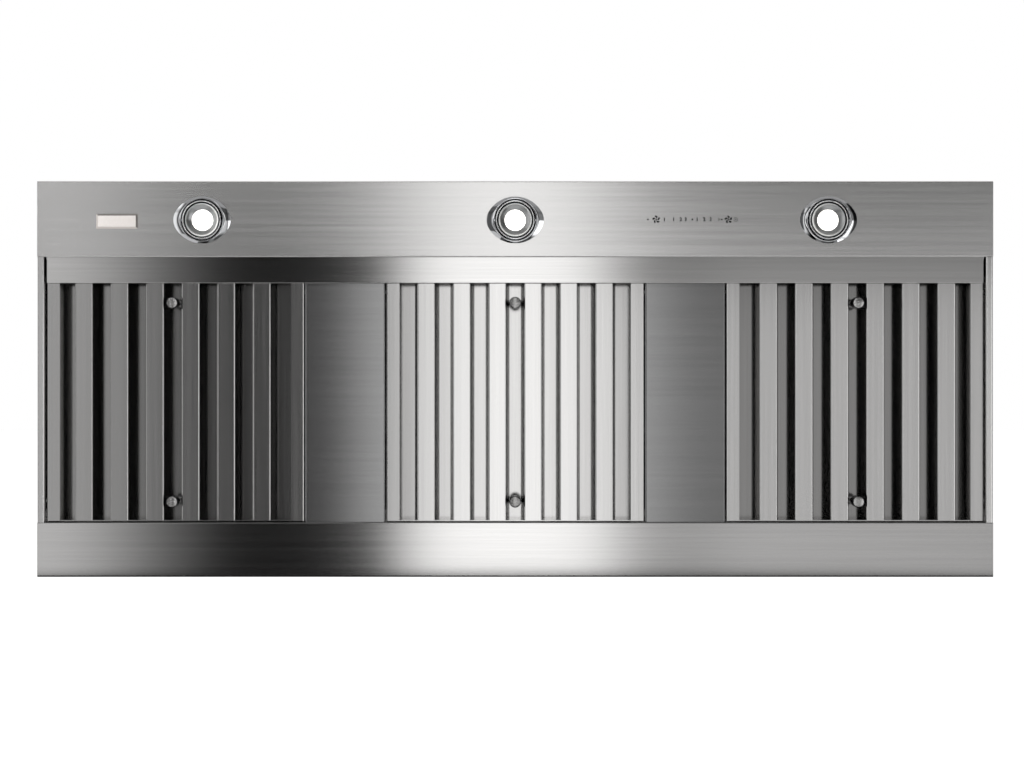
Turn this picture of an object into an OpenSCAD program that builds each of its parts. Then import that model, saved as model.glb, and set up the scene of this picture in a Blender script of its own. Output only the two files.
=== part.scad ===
// Range hood insert, standing on its rear edge as it is stored.
// X runs along the width, Z from the rear edge up to the front edge,
// and Y from the working underside towards the duct collars.

/* [Case] */
// Width of the case
case_w = 1470; // [1440:1:1560]
// Length of the case from its rear edge to its front edge
case_l = 609; // [590:1:640]
// Height of the case from its underside to its top panel
case_h = 305; // [295:1:340]
// Thickness of the case's steel sheet
sheet = 1.2; // [1:0.1:1.5]
// Outside radius of a bend in the case
bend_r = 2.4; // [2:0.1:3]
// Width of the front strip with the lights and controls
control_w = 117; // [112:1:124]
// Width of the rail in front of the filters
rail_w = 40; // [36:0.5:44]
// Depth of the rail's face behind the strips
rail_set = 4; // [3:0.5:5]
// Width of the rear strip
rear_w = 83.5; // [78:0.5:90]
// Width of a side panel's turned-in flange
side_lip = 10.8; // [9:0.1:12]
// Width of the flanges that the top panel lies on
flange_w = 14; // [12:0.5:18]
// Depth of the side flanges' turned-in edge
return_d = 9; // [7:0.5:10]
// Straight part of the front strip's turned-in edge, past its bend
strip_lip = 0.6; // [0.3:0.1:0.9]
// Height of the folded hem on the rear strip
hem_l = 12; // [8:0.5:16]

/* [Filters] */
// Width of a filler panel between two filters
filler_w = 123.5; // [110:0.5:136]
// Thickness of a filter from its front to its back
filter_d = 46; // [44:0.5:50]
// Depth of the filters' faces behind the strips
filter_set = 12; // [11:0.5:14]
// Thickness of the filters' steel sheet
filter_sheet = 1; // [0.8:0.1:1.2]
// Outside radius of a bend in the filters
filter_bend_r = 2.2; // [1.6:0.1:2.6]
// Distance from one front baffle to the next
baffle_pitch = 55; // [53:0.5:56]
// Width of a front baffle
baffle_w = 28; // [26:0.5:30]
// Distance that a side filter's baffles sit nearer to the end of the case
baffle_shift = 4; // [0:0.5:5]
// Depth of a front baffle
baffle_d = 24; // [20:0.5:26]
// Outward lean of a front baffle's legs, in degrees
baffle_lean = 11; // [8:0.5:12]
// Width of a rear baffle
rear_baffle_w = 41; // [38:0.5:44]
// Depth of a rear baffle
rear_baffle_d = 26; // [22:0.5:28]
// Length of a filter that the rail hides
pocket_l = 12; // [10:0.5:16]
// Gap between the rear strip and the filters
end_gap = 2; // [1.5:0.1:3]
// Gap between a side panel's flange and its filter
bay_gap = 0.7; // [0.5:0.1:1.5]
// Gap between a filler panel and the side filter
filler_gap = 1.5; // [1:0.1:2.5]
// Gap between a filler panel and the centre filter
centre_gap = 1.5; // [1:0.1:3]
// Depth of the filler panels' faces behind the strips
filler_set = 10; // [9:0.5:12]
// Radius of the pins that a filter turns on
pivot_r = 3; // [2.5:0.1:3.5]
// Distance of the pins from the rail's visible edge
pivot_below = 12; // [11:0.5:14]
// Distance of the pins from a filter's front
pivot_front = 24; // [22:0.5:25]
// Play of a turning shaft in its hole, on the radius
shaft_clear = 0.05; // [0.03:0.01:0.08]

/* [Knobs] */
// Radius of a filter knob
knob_r = 9; // [8.5:0.25:11]
// Length of a knob's head
knob_l = 22; // [16:0.5:24]
// Distance that a knob stands in front of the baffles
knob_proud = 10; // [6:0.5:12]
// Radius of a knob's stem
stem_r = 6; // [4:0.5:7]
// Distance of a knob from the visible end of its filter
knob_inset = 30; // [26:0.5:36]

/* [Lights] */
// Distance of a side light from its end of the case
light_inset = 253.5; // [240:0.5:270]
// Distance of the lights from the front strip's lower edge
light_rise = 57; // [52:0.5:60]
// Half the width of a light's oval flange
flange_a = 44; // [42.5:0.1:46]
// Half the height of a light's oval flange
flange_b = 36; // [35:0.1:38]
// Thickness of the flange
flange_t = 2; // [1.5:0.1:2.5]
// Radius of the round tilting ring
ball_r = 31.5; // [30.5:0.1:32]
// Play between the tilting ring and its flange
ball_gap = 0.7; // [0.5:0.1:0.9]
// Distance that the ring stands in front of the strip
ring_proud = 6; // [5:0.25:7]
// Radius of the reflector lamp
lamp_r = 25.4; // [24:0.1:25.8]
// Radius of the lamp's lit lens
lens_r = 18.5; // [17:0.1:20]

/* [Blowers] */
// Radius of a blower wheel
wheel_r = 75; // [68:0.5:76]
// Width of a blower wheel
wheel_w = 120; // [100:1:124]
// Number of blades on a wheel
blade_n = 30; // [24:1:36]
// Width of a blower housing
blower_w = 150; // [146:1:160]
// Largest radius of a housing's spiral
scroll_r = 120; // [114:1:121]
// Width of a housing's outlet
throat_w = 105; // [96:1:108]
// Radius of a housing's inlets
inlet_r = 62; // [58:0.5:64]
// Radius of a motor
motor_r = 42; // [36:0.5:46]
// Radius of a motor's shaft
shaft_r = 4; // [3:0.25:5]

/* [Ducts] */
// Outer radius of a duct collar
collar_r = 101.5; // [99:0.1:102]
// Length of a collar above its base plate
collar_l = 50; // [40:1:60]
// Width of a collar's base plate
base_w = 240; // [230:1:250]
// Thickness of the damper flaps
flap_t = 0.8; // [0.6:0.1:1]
// Radius of a damper spindle
spindle_r = 2; // [1.5:0.1:2.5]

/* [Fixings] */
// Radius of the screw holes in the side panels
fix_r = 2.75; // [2.5:0.05:3]
// Distance between a side panel's screw holes along its height
fix_gap_y = 190; // [170:1:200]
// Distance between a side panel's screw holes along its length
fix_gap_z = 380; // [340:1:400]
// Radius of the wire hole in the top panel
wire_r = 11; // [9:0.5:13]

/* [Hidden] */
$fn = 48;

// Overrun of a cut past the face that it opens
over = 1;

// Sizes and places of the sheets in the case
half_w = case_w / 2;
inner_w = half_w - sheet;
top_y = case_h - sheet;
strip_z = case_l - control_w;
rail_z = strip_z - rail_w;
bay_w = half_w - side_lip;
rail_end_gap = 3.4;
rail_hem_l = 6;
rail_tuck = 8;
rail_top = strip_z + rail_tuck;
rail_half = bay_w - rail_end_gap;
light_x = half_w - light_inset;
light_z = strip_z + light_rise;

// Places of the filters
filter_z0 = rear_w + end_gap;
filter_z1 = rail_z + pocket_l;
filter_w = (bay_w - bay_gap - filler_gap - filler_w - centre_gap) * 2 / 3;
filter_x = bay_w - bay_gap - filter_w / 2;
filler_x1 = filter_x - filter_w / 2 - filler_gap;
filler_x0 = filter_w / 2 + centre_gap;
filter_back = filter_set + filter_d;
ledge_gap = 0.5;
ledge_y = filter_back + ledge_gap;
ledge_rise = 17;
ledge_l = rear_w + ledge_rise;
filler_tuck = 24;
pivot_in = 3.5;
pin_gap = 0.8;
pivot_y = filter_set + pivot_front;
pivot_z = rail_z - pivot_below;
baffle_gap = baffle_pitch - baffle_w;
least_flat = (rear_baffle_w - baffle_gap) / 2 + pivot_in + pin_gap + baffle_shift;
baffle_n = floor((filter_w - 2 * least_flat - baffle_gap) / baffle_pitch);
knob_x = baffle_n % 2 * baffle_pitch / 2;
side_flat = (filter_w - baffle_n * baffle_w - (baffle_n + 1) * baffle_gap) / 2;
knob_chamfer = 1;
knob_z0 = filter_z0 + knob_inset;
knob_z1 = rail_z - knob_inset;

// Sizes of the light's inner pieces
tilt_y = 4;
ring_back = 12;
lamp_play = 0.6;
ring_bore = lamp_r + lamp_play;
flange_bore = ball_r + ball_gap;
sleeve_t = 1.2;
sleeve_l = 14;
sleeve_gap = 0.3;
strip_hole_r = flange_bore + sleeve_t + sleeve_gap;
lug_reach = 8;
lug_out = flange_bore + lug_reach;
lug_h = 5;
lug_l = 9;
trunnion_r = 2.5;
trunnion_l = 6;
lamp_rim_y = -2.5;
lens_y = 3;
lamp_rim_l = 7;
lamp_neck_r = 12;
lamp_neck_y = 34;
lamp_end_y = 44;
lamp_pin_r = 2.5;
lamp_pin_l = 7;
lamp_pin_x = 5;
socket_r = 14;
socket_l = 18;

// Sizes and places of the blowers
blower_x = (filler_x0 + filler_x1) / 2;
blower_t = 1;
blower_flange = 12;
scroll_gap = 7;
throat_z = case_l / 2;
scroll_z = throat_z + throat_w / 2 - scroll_r;
scroll_drop = 132;
scroll_y = case_h - scroll_drop;
cutoff_angle = 80;
scroll_steps = 28;
wheel_ring_t = 2;
wheel_disc_t = 2;
blade_t = 1;
blade_depth = 12;
blade_lean = 30;
hub_r = 12;
hub_l = 20;
inlet_lip = 8;
motor_gap = 5;
motor_l = blower_w / 2 - hub_l / 2 - motor_gap;
motor_band_l = 12;
motor_rib_n = 12;
motor_rib_t = 2;
motor_rib_h = 3;
bearing_r = 14;
bearing_l = 2;
shaft_in = 40;
bracket_t = 2;
bracket_arm_w = 16;
bracket_hole_r = 20;
bracket_lap = 10;
bracket_reach = inlet_r + bracket_lap;

// Sizes of the collars and dampers
collar_t = 1.2;
collar_bore = collar_r - collar_t;
bead_r = 1.6;
bead_rise = 8;
rim_w = 5;
rim_r = collar_bore - rim_w;
flap_play = 1.6;
flap_lift = 0.4;
flap_slit = 1;
knuckle_t = 1.5;
knuckle_r = spindle_r + knuckle_t;
knuckle_l = 30;
knuckle_in = 5;
knuckle_step = 35;
web_gap = 0.1;
spindle_y = case_h + collar_t + flap_lift + flap_t + web_gap + knuckle_r;
spindle_end = 0.5;

// Sizes of the small fittings
badge_w = 64;
badge_l = 23;
badge_t = 2.5;
badge_bevel = 3;
badge_inset = 123;
badge_rise = 55;
touch_inset = 463;
touch_w = 152;
touch_l = 26;
touch_t = 6;
touch_rise = 58;
module_w = 210;
module_l = 60;
module_h = 42;
module_x = 230;
driver_w = 150;
driver_l = 42;
driver_h = 30;
driver_x = -230;
box_inset = 40;
foot_w = 8;
foot_t = 1.5;
capacitor_w = 45;
capacitor_l = 20;
capacitor_h = 34;
capacitor_rise = 108;
junction_w = 110;
junction_l = 100;
junction_h = 40;
junction_inset = 125;
junction_drop = 139;
junction_x = half_w - junction_inset;
junction_z = case_l - junction_drop;
knockout_r = 11.1;
cover_lap = 3;
cover_screw_r = 3;
cover_screw_in = 10;
cover_screw_h = 1.5;
grommet_lip = 3;
grommet_t = 2;
screw_r = 4;
screw_h = 1.8;
screw_slot_r = 2.2;
screw_slot_h = 0.9;
screw_n_x = 8;
screw_n_z = 3;

// Depth of the strips' outer face, which sets the origin in the middle of the depth
front_reach = ring_proud;
back_reach = case_h + collar_t + collar_l;
face_y = (front_reach - back_reach) / 2;

// Moves its children to the depth of the strips' outer face
module at_face(x = 0, y = 0, z = 0) {
    translate([x, face_y + y, z]) children();
}

// Draws a YZ outline out along X, centred on x = 0
module along_x(length) {
    translate([-length / 2, 0, 0])
        rotate([90, 0, 90])
            linear_extrude(length) children();
}

// Turns a shape drawn along Z so that it runs along Y
module along_y() {
    rotate([-90, 0, 0]) children();
}

// Quarter of a ring, the section of a bend whose centre is at the origin
module bend(r, t, turn = 0) {
    rotate(turn)
        intersection() {
            difference() {
                circle(r);
                circle(r - t);
            }
            square(r);
        }
}

// Section of a sheet channel: its face on the X axis and its legs along Y
module channel_section(w, d, t, r) {
    translate([r - w / 2, 0]) square([w - 2 * r, t]);
    for (side = [0, 1])
        mirror([side, 0]) {
            translate([w / 2 - r, r]) bend(r, t, -90);
            translate([w / 2 - t, r]) square([t, d - r]);
        }
}

// Section of a baffle whose legs lean outwards, its face on the X axis
module splayed_section(w, d, t, r, lean) {
    leg_l = (d - r + r * sin(lean)) / cos(lean);
    translate([r - w / 2, 0]) square([w - 2 * r, t]);
    for (side = [0, 1])
        mirror([side, 0])
            translate([w / 2 - r, r]) {
                intersection() {
                    bend(r, t, -90);
                    rotate(-90 - lean) square(r);
                }
                rotate(-lean) translate([r - t, 0]) square([t, leg_l]);
            }
}

// Section of the flange along the top panel of the front and rear panels
module top_flange(z, dir) {
    translate([top_y - bend_r, z - dir * bend_r]) bend(bend_r, sheet, dir > 0 ? 0 : -90);
    translate([top_y - sheet, min(z - dir * bend_r, z - dir * flange_w)])
        square([sheet, flange_w - bend_r]);
}

// Flat panel with the two duct openings and the wire hole
module top_panel() {
    color("silver")
        at_face(0, top_y, 0)
            difference() {
                translate([-half_w, 0, 0]) cube([case_w, sheet, case_l]);
                for (side = [-1, 1])
                    translate([side * blower_x, 0, throat_z])
                        translate([blower_t - blower_w / 2, -over, blower_t - throat_w / 2])
                            cube([blower_w - 2 * blower_t, sheet + 2 * over, throat_w - 2 * blower_t]);
                translate([junction_x, -over, junction_z])
                    along_y() cylinder(r = wire_r, h = sheet + 2 * over);
            }
}

// Ends of a folded panel that the side panels' sheet takes the place of
module side_notches() {
    for (side = [0, 1])
        mirror([side, 0, 0])
            translate([inner_w, sheet, sheet])
                cube([sheet + over, case_h, case_l - 2 * sheet]);
}

// Hole in the front strip for a light's sleeve and its two pivot lugs
module light_hole() {
    along_y() cylinder(r = strip_hole_r, h = bend_r + 2 * over);
    translate([-lug_out - ball_gap, 0, -lug_h - ball_gap])
        cube([2 * (lug_out + ball_gap), bend_r + 2 * over, 2 * (lug_h + ball_gap)]);
}

// Front strip and front wall, folded from one sheet
module front_panel() {
    color("silver")
        at_face()
            difference() {
                along_x(case_w) {
                    translate([0, strip_z + bend_r]) square([sheet, control_w - 2 * bend_r]);
                    translate([bend_r, case_l - bend_r]) bend(bend_r, sheet, 90);
                    translate([bend_r, case_l - sheet]) square([top_y - 2 * bend_r, sheet]);
                    top_flange(case_l, 1);
                    translate([bend_r, strip_z + bend_r]) bend(bend_r, sheet, 180);
                    translate([bend_r, strip_z]) square([strip_lip, sheet]);
                }
                side_notches();
                for (side = [-1, 0, 1])
                    translate([side * light_x, -over, light_z]) light_hole();
            }
}

// Rear strip with its folded hem, and the rear wall
module rear_panel() {
    color("silver")
        at_face()
            difference() {
                along_x(case_w) {
                    translate([0, bend_r]) square([sheet, rear_w - bend_r - sheet]);
                    translate([sheet, rear_w - sheet])
                        intersection() {
                            circle(sheet);
                            translate([-sheet, 0]) square([2 * sheet, sheet]);
                        }
                    translate([sheet, rear_w - hem_l]) square([sheet, hem_l - sheet]);
                    translate([bend_r, bend_r]) bend(bend_r, sheet, 180);
                    translate([bend_r, 0]) square([top_y - 2 * bend_r, sheet]);
                    top_flange(0, -1);
                }
                side_notches();
            }
}

// Side wall with its turned-in flange, drawn for the right side
module side_panel() {
    color("silver")
        at_face()
            difference() {
                union() {
                    translate([inner_w, bend_r, sheet])
                        cube([sheet, top_y - 2 * bend_r, case_l - 2 * sheet]);
                    for (run = [[sheet, rear_w], [strip_z, case_l - sheet]])
                        translate([inner_w, sheet, run[0]])
                            cube([sheet, bend_r - sheet, run[1] - run[0]]);
                    translate([0, 0, rear_w])
                        linear_extrude(strip_z - rear_w) {
                            translate([inner_w, bend_r]) square(sheet);
                            translate([half_w - bend_r, bend_r]) bend(bend_r, sheet, -90);
                            translate([bay_w + bend_r, 0])
                                square([side_lip - 2 * bend_r, sheet]);
                            translate([bay_w + bend_r, bend_r]) bend(bend_r, sheet, 180);
                            translate([bay_w, bend_r]) square([sheet, return_d - bend_r]);
                        }
                    translate([0, 0, flange_w])
                        linear_extrude(case_l - 2 * flange_w) {
                            translate([inner_w, top_y - bend_r - sheet]) square(sheet);
                            translate([half_w - bend_r, top_y - bend_r]) bend(bend_r, sheet);
                            translate([half_w - flange_w, top_y - sheet])
                                square([flange_w - bend_r, sheet]);
                        }
                }
                translate([inner_w - over, case_h / 2, case_l / 2])
                    for (y = [-1, 1], z = [-1, 1])
                        translate([0, y * fix_gap_y / 2, z * fix_gap_z / 2])
                            rotate([0, 90, 0]) cylinder(r = fix_r, h = sheet + 2 * over);
            }
}

module left_panel() {
    mirror([1, 0, 0]) side_panel();
}

module right_panel() {
    side_panel();
}

// Set-back strip in front of the filters, with the web that closes the pocket
module filter_rail() {
    color("silver")
        at_face()
            along_x(2 * rail_half) {
                translate([rail_set, rail_z + sheet])
                    square([sheet, rail_top - rail_z - sheet - bend_r]);
                translate([rail_set + sheet, rail_z + sheet])
                    intersection() {
                        circle(sheet);
                        translate([-sheet, -sheet]) square([2 * sheet, sheet]);
                    }
                translate([rail_set + sheet, rail_z + sheet]) square([sheet, rail_hem_l]);
                translate([rail_set + bend_r, rail_top - bend_r]) bend(bend_r, sheet, 90);
                translate([rail_set + bend_r, rail_top - sheet])
                    square([filter_back - rail_set - bend_r, sheet]);
            }
}

// Angle behind the rear strip that the filters' rear ends close against
module rear_ledge() {
    color("silver")
        at_face()
            along_x(2 * inner_w) {
                translate([ledge_y, sheet + bend_r]) square([sheet, ledge_l - bend_r - sheet]);
                translate([ledge_y + bend_r, sheet + bend_r]) bend(bend_r, sheet, 180);
                translate([ledge_y + bend_r, sheet]) square([flange_w - bend_r, sheet]);
            }
}

// Panel that closes the space between two filters, drawn for the right side
module filler_panel() {
    color("gray")
        at_face(blower_x, filler_set, rear_w - filler_tuck)
            linear_extrude(rail_top - sheet - rear_w + filler_tuck)
                channel_section(filler_w, ledge_y - filler_set, sheet, bend_r);
}

module filler_left() {
    mirror([1, 0, 0]) filler_panel();
}

module filler_right() {
    filler_panel();
}

// Pin from a bay's side wall through a filter frame's side
module pivot_pin(x0, x1) {
    at_face(min(x0, x1), pivot_y, pivot_z)
        rotate([0, 90, 0]) cylinder(r = pivot_r, h = abs(x1 - x0));
}

module filter_pivots() {
    color("dimgray")
        for (side = [0, 1])
            mirror([side, 0, 0]) {
                pivot_pin(inner_w, filter_x + filter_w / 2 - pivot_in);
                pivot_pin(filler_x1, filler_x1 + filler_gap + pivot_in);
                pivot_pin(filler_x0, filler_x0 - centre_gap - pivot_in);
            }
}

// Bare plate with four bevelled sides
module badge_plate() {
    long_x = badge_w / 2;
    long_z = badge_l / 2;
    color("gainsboro")
        at_face(badge_inset - half_w, 0, strip_z + badge_rise)
            intersection() {
                translate([0, 0, -long_z])
                    linear_extrude(badge_l)
                        polygon([
                            [-long_x, 0], [-long_x + badge_bevel, -badge_t],
                            [long_x - badge_bevel, -badge_t], [long_x, 0]
                        ]);
                along_x(badge_w)
                    polygon([
                        [0, -long_z], [-badge_t, -long_z + badge_bevel],
                        [-badge_t, long_z - badge_bevel], [0, long_z]
                    ]);
            }
}

// Touch sensor behind the printed marks
module touch_board() {
    color("darkgreen")
        at_face(half_w - touch_inset - touch_w / 2, sheet, strip_z + touch_rise - touch_l / 2)
            cube([touch_w, touch_t, touch_l]);
}

// Closed box hung under the top panel by two feet
module hung_box(w, h, l) {
    translate([-w / 2, -h, -l / 2]) cube([w, h, l]);
    for (side = [0, 1])
        mirror([side, 0, 0])
            translate([w / 2, -foot_t, -l / 4]) cube([foot_w, foot_t, l / 2]);
}

module control_module() {
    color("dimgray")
        at_face(module_x, top_y, case_l - box_inset - module_l / 2)
            hung_box(module_w, module_h, module_l);
}

module light_driver() {
    color("whitesmoke")
        at_face(driver_x, top_y, case_l - box_inset - driver_l / 2)
            hung_box(driver_w, driver_h, driver_l);
}

module motor_capacitors() {
    color("white")
        for (side = [-1, 1])
            at_face(side * blower_x, top_y, throat_z + capacitor_rise)
                hung_box(capacitor_w, capacitor_h, capacitor_l);
}

// Open box on the top panel, with a knockout hole in its side
module junction_box() {
    color("lightgray")
        at_face(junction_x, case_h, junction_z)
            difference() {
                translate([-junction_w / 2, 0, -junction_l / 2])
                    cube([junction_w, junction_h, junction_l]);
                translate([sheet - junction_w / 2, sheet, sheet - junction_l / 2])
                    cube([junction_w - 2 * sheet, junction_h, junction_l - 2 * sheet]);
                translate([0, -over, 0]) along_y() cylinder(r = wire_r, h = sheet + 2 * over);
                translate([0, junction_h / 2, -junction_l / 2 - over])
                    cylinder(r = knockout_r, h = sheet + 2 * over);
            }
}

// Lid of the junction box with its two screws
module junction_cover() {
    color("lightgray")
        at_face(junction_x, case_h + junction_h, junction_z) {
            translate([-junction_w / 2 - cover_lap, 0, -junction_l / 2 - cover_lap])
                cube([junction_w + 2 * cover_lap, sheet, junction_l + 2 * cover_lap]);
            for (side = [-1, 1])
                translate([side * (junction_w / 2 - cover_screw_in), sheet, 0])
                    along_y() cylinder(r = cover_screw_r, h = cover_screw_h);
        }
}

// Rubber ring that lines the wire hole
module wire_grommet() {
    color("black")
        at_face(junction_x, top_y, junction_z)
            along_y()
                difference() {
                    union() {
                        cylinder(r = wire_r, h = 2 * sheet);
                        translate([0, 0, -grommet_t])
                            cylinder(r = wire_r + grommet_lip, h = grommet_t);
                        translate([0, 0, 2 * sheet])
                            cylinder(r = wire_r + grommet_lip, h = grommet_t);
                    }
                    translate([0, 0, -grommet_t - over])
                        cylinder(r = wire_r - grommet_lip, h = 2 * (grommet_t + sheet + over));
                }
}

// Screw head with its round recess
module screw_head() {
    along_y()
        difference() {
            cylinder(r = screw_r, h = screw_h);
            translate([0, 0, screw_h - screw_slot_h])
                cylinder(r = screw_slot_r, h = screw_slot_h + over, $fn = 6);
        }
}

// Screws along the edges of the top panel
module panel_screws() {
    span_x = case_w - 2 * flange_w;
    span_z = case_l - flange_w;
    color("silver")
        at_face(0, case_h, 0) {
            for (k = [0 : screw_n_x - 1], z = [flange_w / 2, case_l - flange_w / 2])
                translate([span_x * (k / (screw_n_x - 1) - 1 / 2), 0, z]) screw_head();
            for (k = [1 : screw_n_z], side = [-1, 1])
                translate([side * (half_w - flange_w / 2), 0, flange_w / 2 + span_z * k / (screw_n_z + 1)])
                    screw_head();
        }
}

// Oval outline made of four arcs
module oval(a, b) {
    end_share = 0.72;
    end_r = b * end_share;
    end_x = a - end_r;
    cap = b - end_r;
    side_drop = (end_x * end_x - cap * cap) / (2 * cap);
    side_r = b + side_drop;
    tangent_x = side_r * end_x / (side_r - end_r);
    for (side = [-1, 1]) translate([side * end_x, 0]) circle(end_r);
    intersection() {
        translate([0, side_drop]) circle(side_r, $fn = 4 * $fn);
        translate([0, -side_drop]) circle(side_r, $fn = 4 * $fn);
        square([2 * tangent_x, 2 * b], center = true);
    }
}

// Oval flange, the sleeve through the strip and the lugs that carry the ring
module light_flange(x) {
    color("gainsboro")
        at_face(x, 0, light_z)
            difference() {
                union() {
                    along_y()
                        translate([0, 0, -flange_t])
                            linear_extrude(flange_t) oval(flange_a, flange_b);
                    along_y() cylinder(r = flange_bore + sleeve_t, h = sleeve_l);
                    translate([-lug_out, 0, -lug_h]) cube([2 * lug_out, lug_l, 2 * lug_h]);
                }
                translate([0, -flange_t - over, 0])
                    along_y() cylinder(r = flange_bore, h = flange_t + sleeve_l + 2 * over);
                translate([-lug_out - over, tilt_y, 0])
                    rotate([0, 90, 0])
                        cylinder(r = trunnion_r + shaft_clear, h = 2 * (lug_out + over));
            }
}

// Round tilting ring with its two trunnions
module light_ring(x) {
    color("gainsboro")
        at_face(x, 0, light_z) {
            along_y()
                rotate_extrude()
                    intersection() {
                        translate([0, tilt_y]) circle(ball_r);
                        translate([ring_bore, -ring_proud])
                            square([ball_r, ring_proud + tilt_y + ring_back]);
                    }
            for (side = [0, 1])
                mirror([side, 0, 0])
                    translate([(ball_r + ring_bore) / 2, tilt_y, 0])
                        rotate([0, 90, 0])
                            cylinder(r = trunnion_r, h = (ball_r - ring_bore) / 2 + trunnion_l);
        }
}

// Reflector lamp with its lens, neck and two pins
module lamp(x) {
    rim_end = lamp_rim_y + lamp_rim_l;
    color("whitesmoke")
        at_face(x, 0, light_z) {
            along_y()
                rotate_extrude()
                    polygon([
                        [0, lens_y], [lens_r, lens_y], [lamp_r - sleeve_t, lamp_rim_y],
                        [ring_bore, lamp_rim_y], [ring_bore, rim_end], [lamp_r, rim_end],
                        [lamp_neck_r, lamp_neck_y], [lamp_neck_r, lamp_end_y], [0, lamp_end_y]
                    ]);
            for (side = [-1, 1])
                translate([side * lamp_pin_x, lamp_end_y, 0])
                    along_y() cylinder(r = lamp_pin_r, h = lamp_pin_l);
        }
}

// Ceramic socket on the lamp's pins
module lamp_socket(x) {
    color("ivory")
        at_face(x, lamp_end_y, light_z)
            along_y()
                difference() {
                    cylinder(r = socket_r, h = socket_l);
                    for (side = [-1, 1])
                        translate([side * lamp_pin_x, 0, -over])
                            cylinder(r = lamp_pin_r, h = lamp_pin_l + over);
                }
}

// Radius of the housing's spiral at an angle round the shaft
function spiral_r(angle, inset) =
    wheel_r + scroll_gap - inset
    + (scroll_r - wheel_r - scroll_gap) * (angle - cutoff_angle) / (360 - cutoff_angle);

// Spiral and outlet in YZ, with the shaft's centre at the origin
function scroll_outline(inset, top) = concat(
    [[top, scroll_r - throat_w + inset]],
    [
        for (k = [0 : scroll_steps])
            let (
                angle = cutoff_angle + (360 - cutoff_angle) * k / scroll_steps,
                r = spiral_r(angle, inset)
            )
            [r * sin(angle), r * cos(angle)]
    ],
    [[top, scroll_r - inset]]
);

// Sheet housing with an inlet in each side and a flanged outlet, drawn for the right side
module blower_housing() {
    outlet_y = top_y - scroll_y;
    color("lightgray")
        at_face(blower_x, scroll_y, scroll_z)
            difference() {
                union() {
                    along_x(blower_w) polygon(scroll_outline(0, outlet_y));
                    translate([
                        -blower_w / 2 - blower_flange, outlet_y - blower_t,
                        scroll_r - throat_w - blower_flange
                    ])
                        cube([blower_w + 2 * blower_flange, blower_t, throat_w + 2 * blower_flange]);
                }
                along_x(blower_w - 2 * blower_t) polygon(scroll_outline(blower_t, outlet_y + over));
                translate([-blower_w / 2 - over, 0, 0])
                    rotate([0, 90, 0]) cylinder(r = inlet_r, h = blower_w + 2 * over);
            }
    color("lightgray")
        at_face(blower_x, scroll_y, scroll_z)
            for (side = [0, 1])
                mirror([side, 0, 0])
                    translate([blower_w / 2 - inlet_lip, 0, 0])
                        rotate([0, 90, 0])
                            difference() {
                                cylinder(r = inlet_r + blower_t, h = inlet_lip - blower_t / 2);
                                translate([0, 0, -over]) cylinder(r = inlet_r, h = inlet_lip + 2 * over);
                            }
}

// Double-inlet wheel: two flat end rings, a centre disc with its hub, and leaning blades
module blower_wheel() {
    color("gray")
        at_face(blower_x, scroll_y, scroll_z)
            rotate([0, 90, 0]) {
                for (side = [0, 1])
                    mirror([0, 0, side])
                        translate([0, 0, wheel_w / 2 - wheel_ring_t])
                            difference() {
                                cylinder(r = wheel_r, h = wheel_ring_t);
                                translate([0, 0, -over])
                                    cylinder(r = wheel_r - blade_depth, h = wheel_ring_t + 2 * over);
                            }
                difference() {
                    union() {
                        cylinder(r = wheel_r, h = wheel_disc_t, center = true);
                        cylinder(r = hub_r, h = hub_l, center = true);
                    }
                    cylinder(r = shaft_r, h = hub_l + 2 * over, center = true);
                }
                for (k = [0 : blade_n - 1])
                    rotate(360 * k / blade_n)
                        translate([wheel_r - blade_t, 0, 0])
                            rotate(blade_lean)
                                translate([-blade_depth / 2, 0, 0])
                                    cube([blade_depth, blade_t, wheel_w - wheel_ring_t], center = true);
            }
}

// Shaft from the wheel's hub into the motor
module motor_shaft() {
    color("dimgray")
        at_face(blower_x - hub_l / 2, scroll_y, scroll_z)
            rotate([0, 90, 0]) cylinder(r = shaft_r, h = hub_l + motor_gap + shaft_in);
}

// Ribbed motor that stands in the wheel's outer half
module blower_motor() {
    motor_x = hub_l / 2 + motor_gap;
    color("black")
        at_face(blower_x + motor_x, scroll_y, scroll_z)
            rotate([0, 90, 0])
                difference() {
                    union() {
                        cylinder(r = motor_r - motor_rib_h, h = motor_l);
                        cylinder(r = motor_r, h = motor_band_l);
                        for (k = [0 : motor_rib_n - 1])
                            rotate(360 * k / motor_rib_n)
                                translate([0, -motor_rib_t / 2, 0])
                                    cube([motor_r, motor_rib_t, motor_l]);
                        translate([0, 0, -bearing_l]) cylinder(r = bearing_r, h = bearing_l);
                    }
                    translate([0, 0, -bearing_l - over])
                        cylinder(r = shaft_r + shaft_clear, h = bearing_l + over + shaft_in + over);
                }
}

// Three-armed plate that holds the motor in the inlet
module motor_bracket() {
    color("silver")
        at_face(blower_x + blower_w / 2, scroll_y, scroll_z)
            rotate([0, 90, 0])
                linear_extrude(bracket_t)
                    difference() {
                        union() {
                            circle(motor_r);
                            for (k = [0 : 2])
                                rotate(120 * k)
                                    translate([0, -bracket_arm_w / 2])
                                        square([bracket_reach, bracket_arm_w]);
                        }
                        circle(bracket_hole_r);
                    }
}

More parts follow.
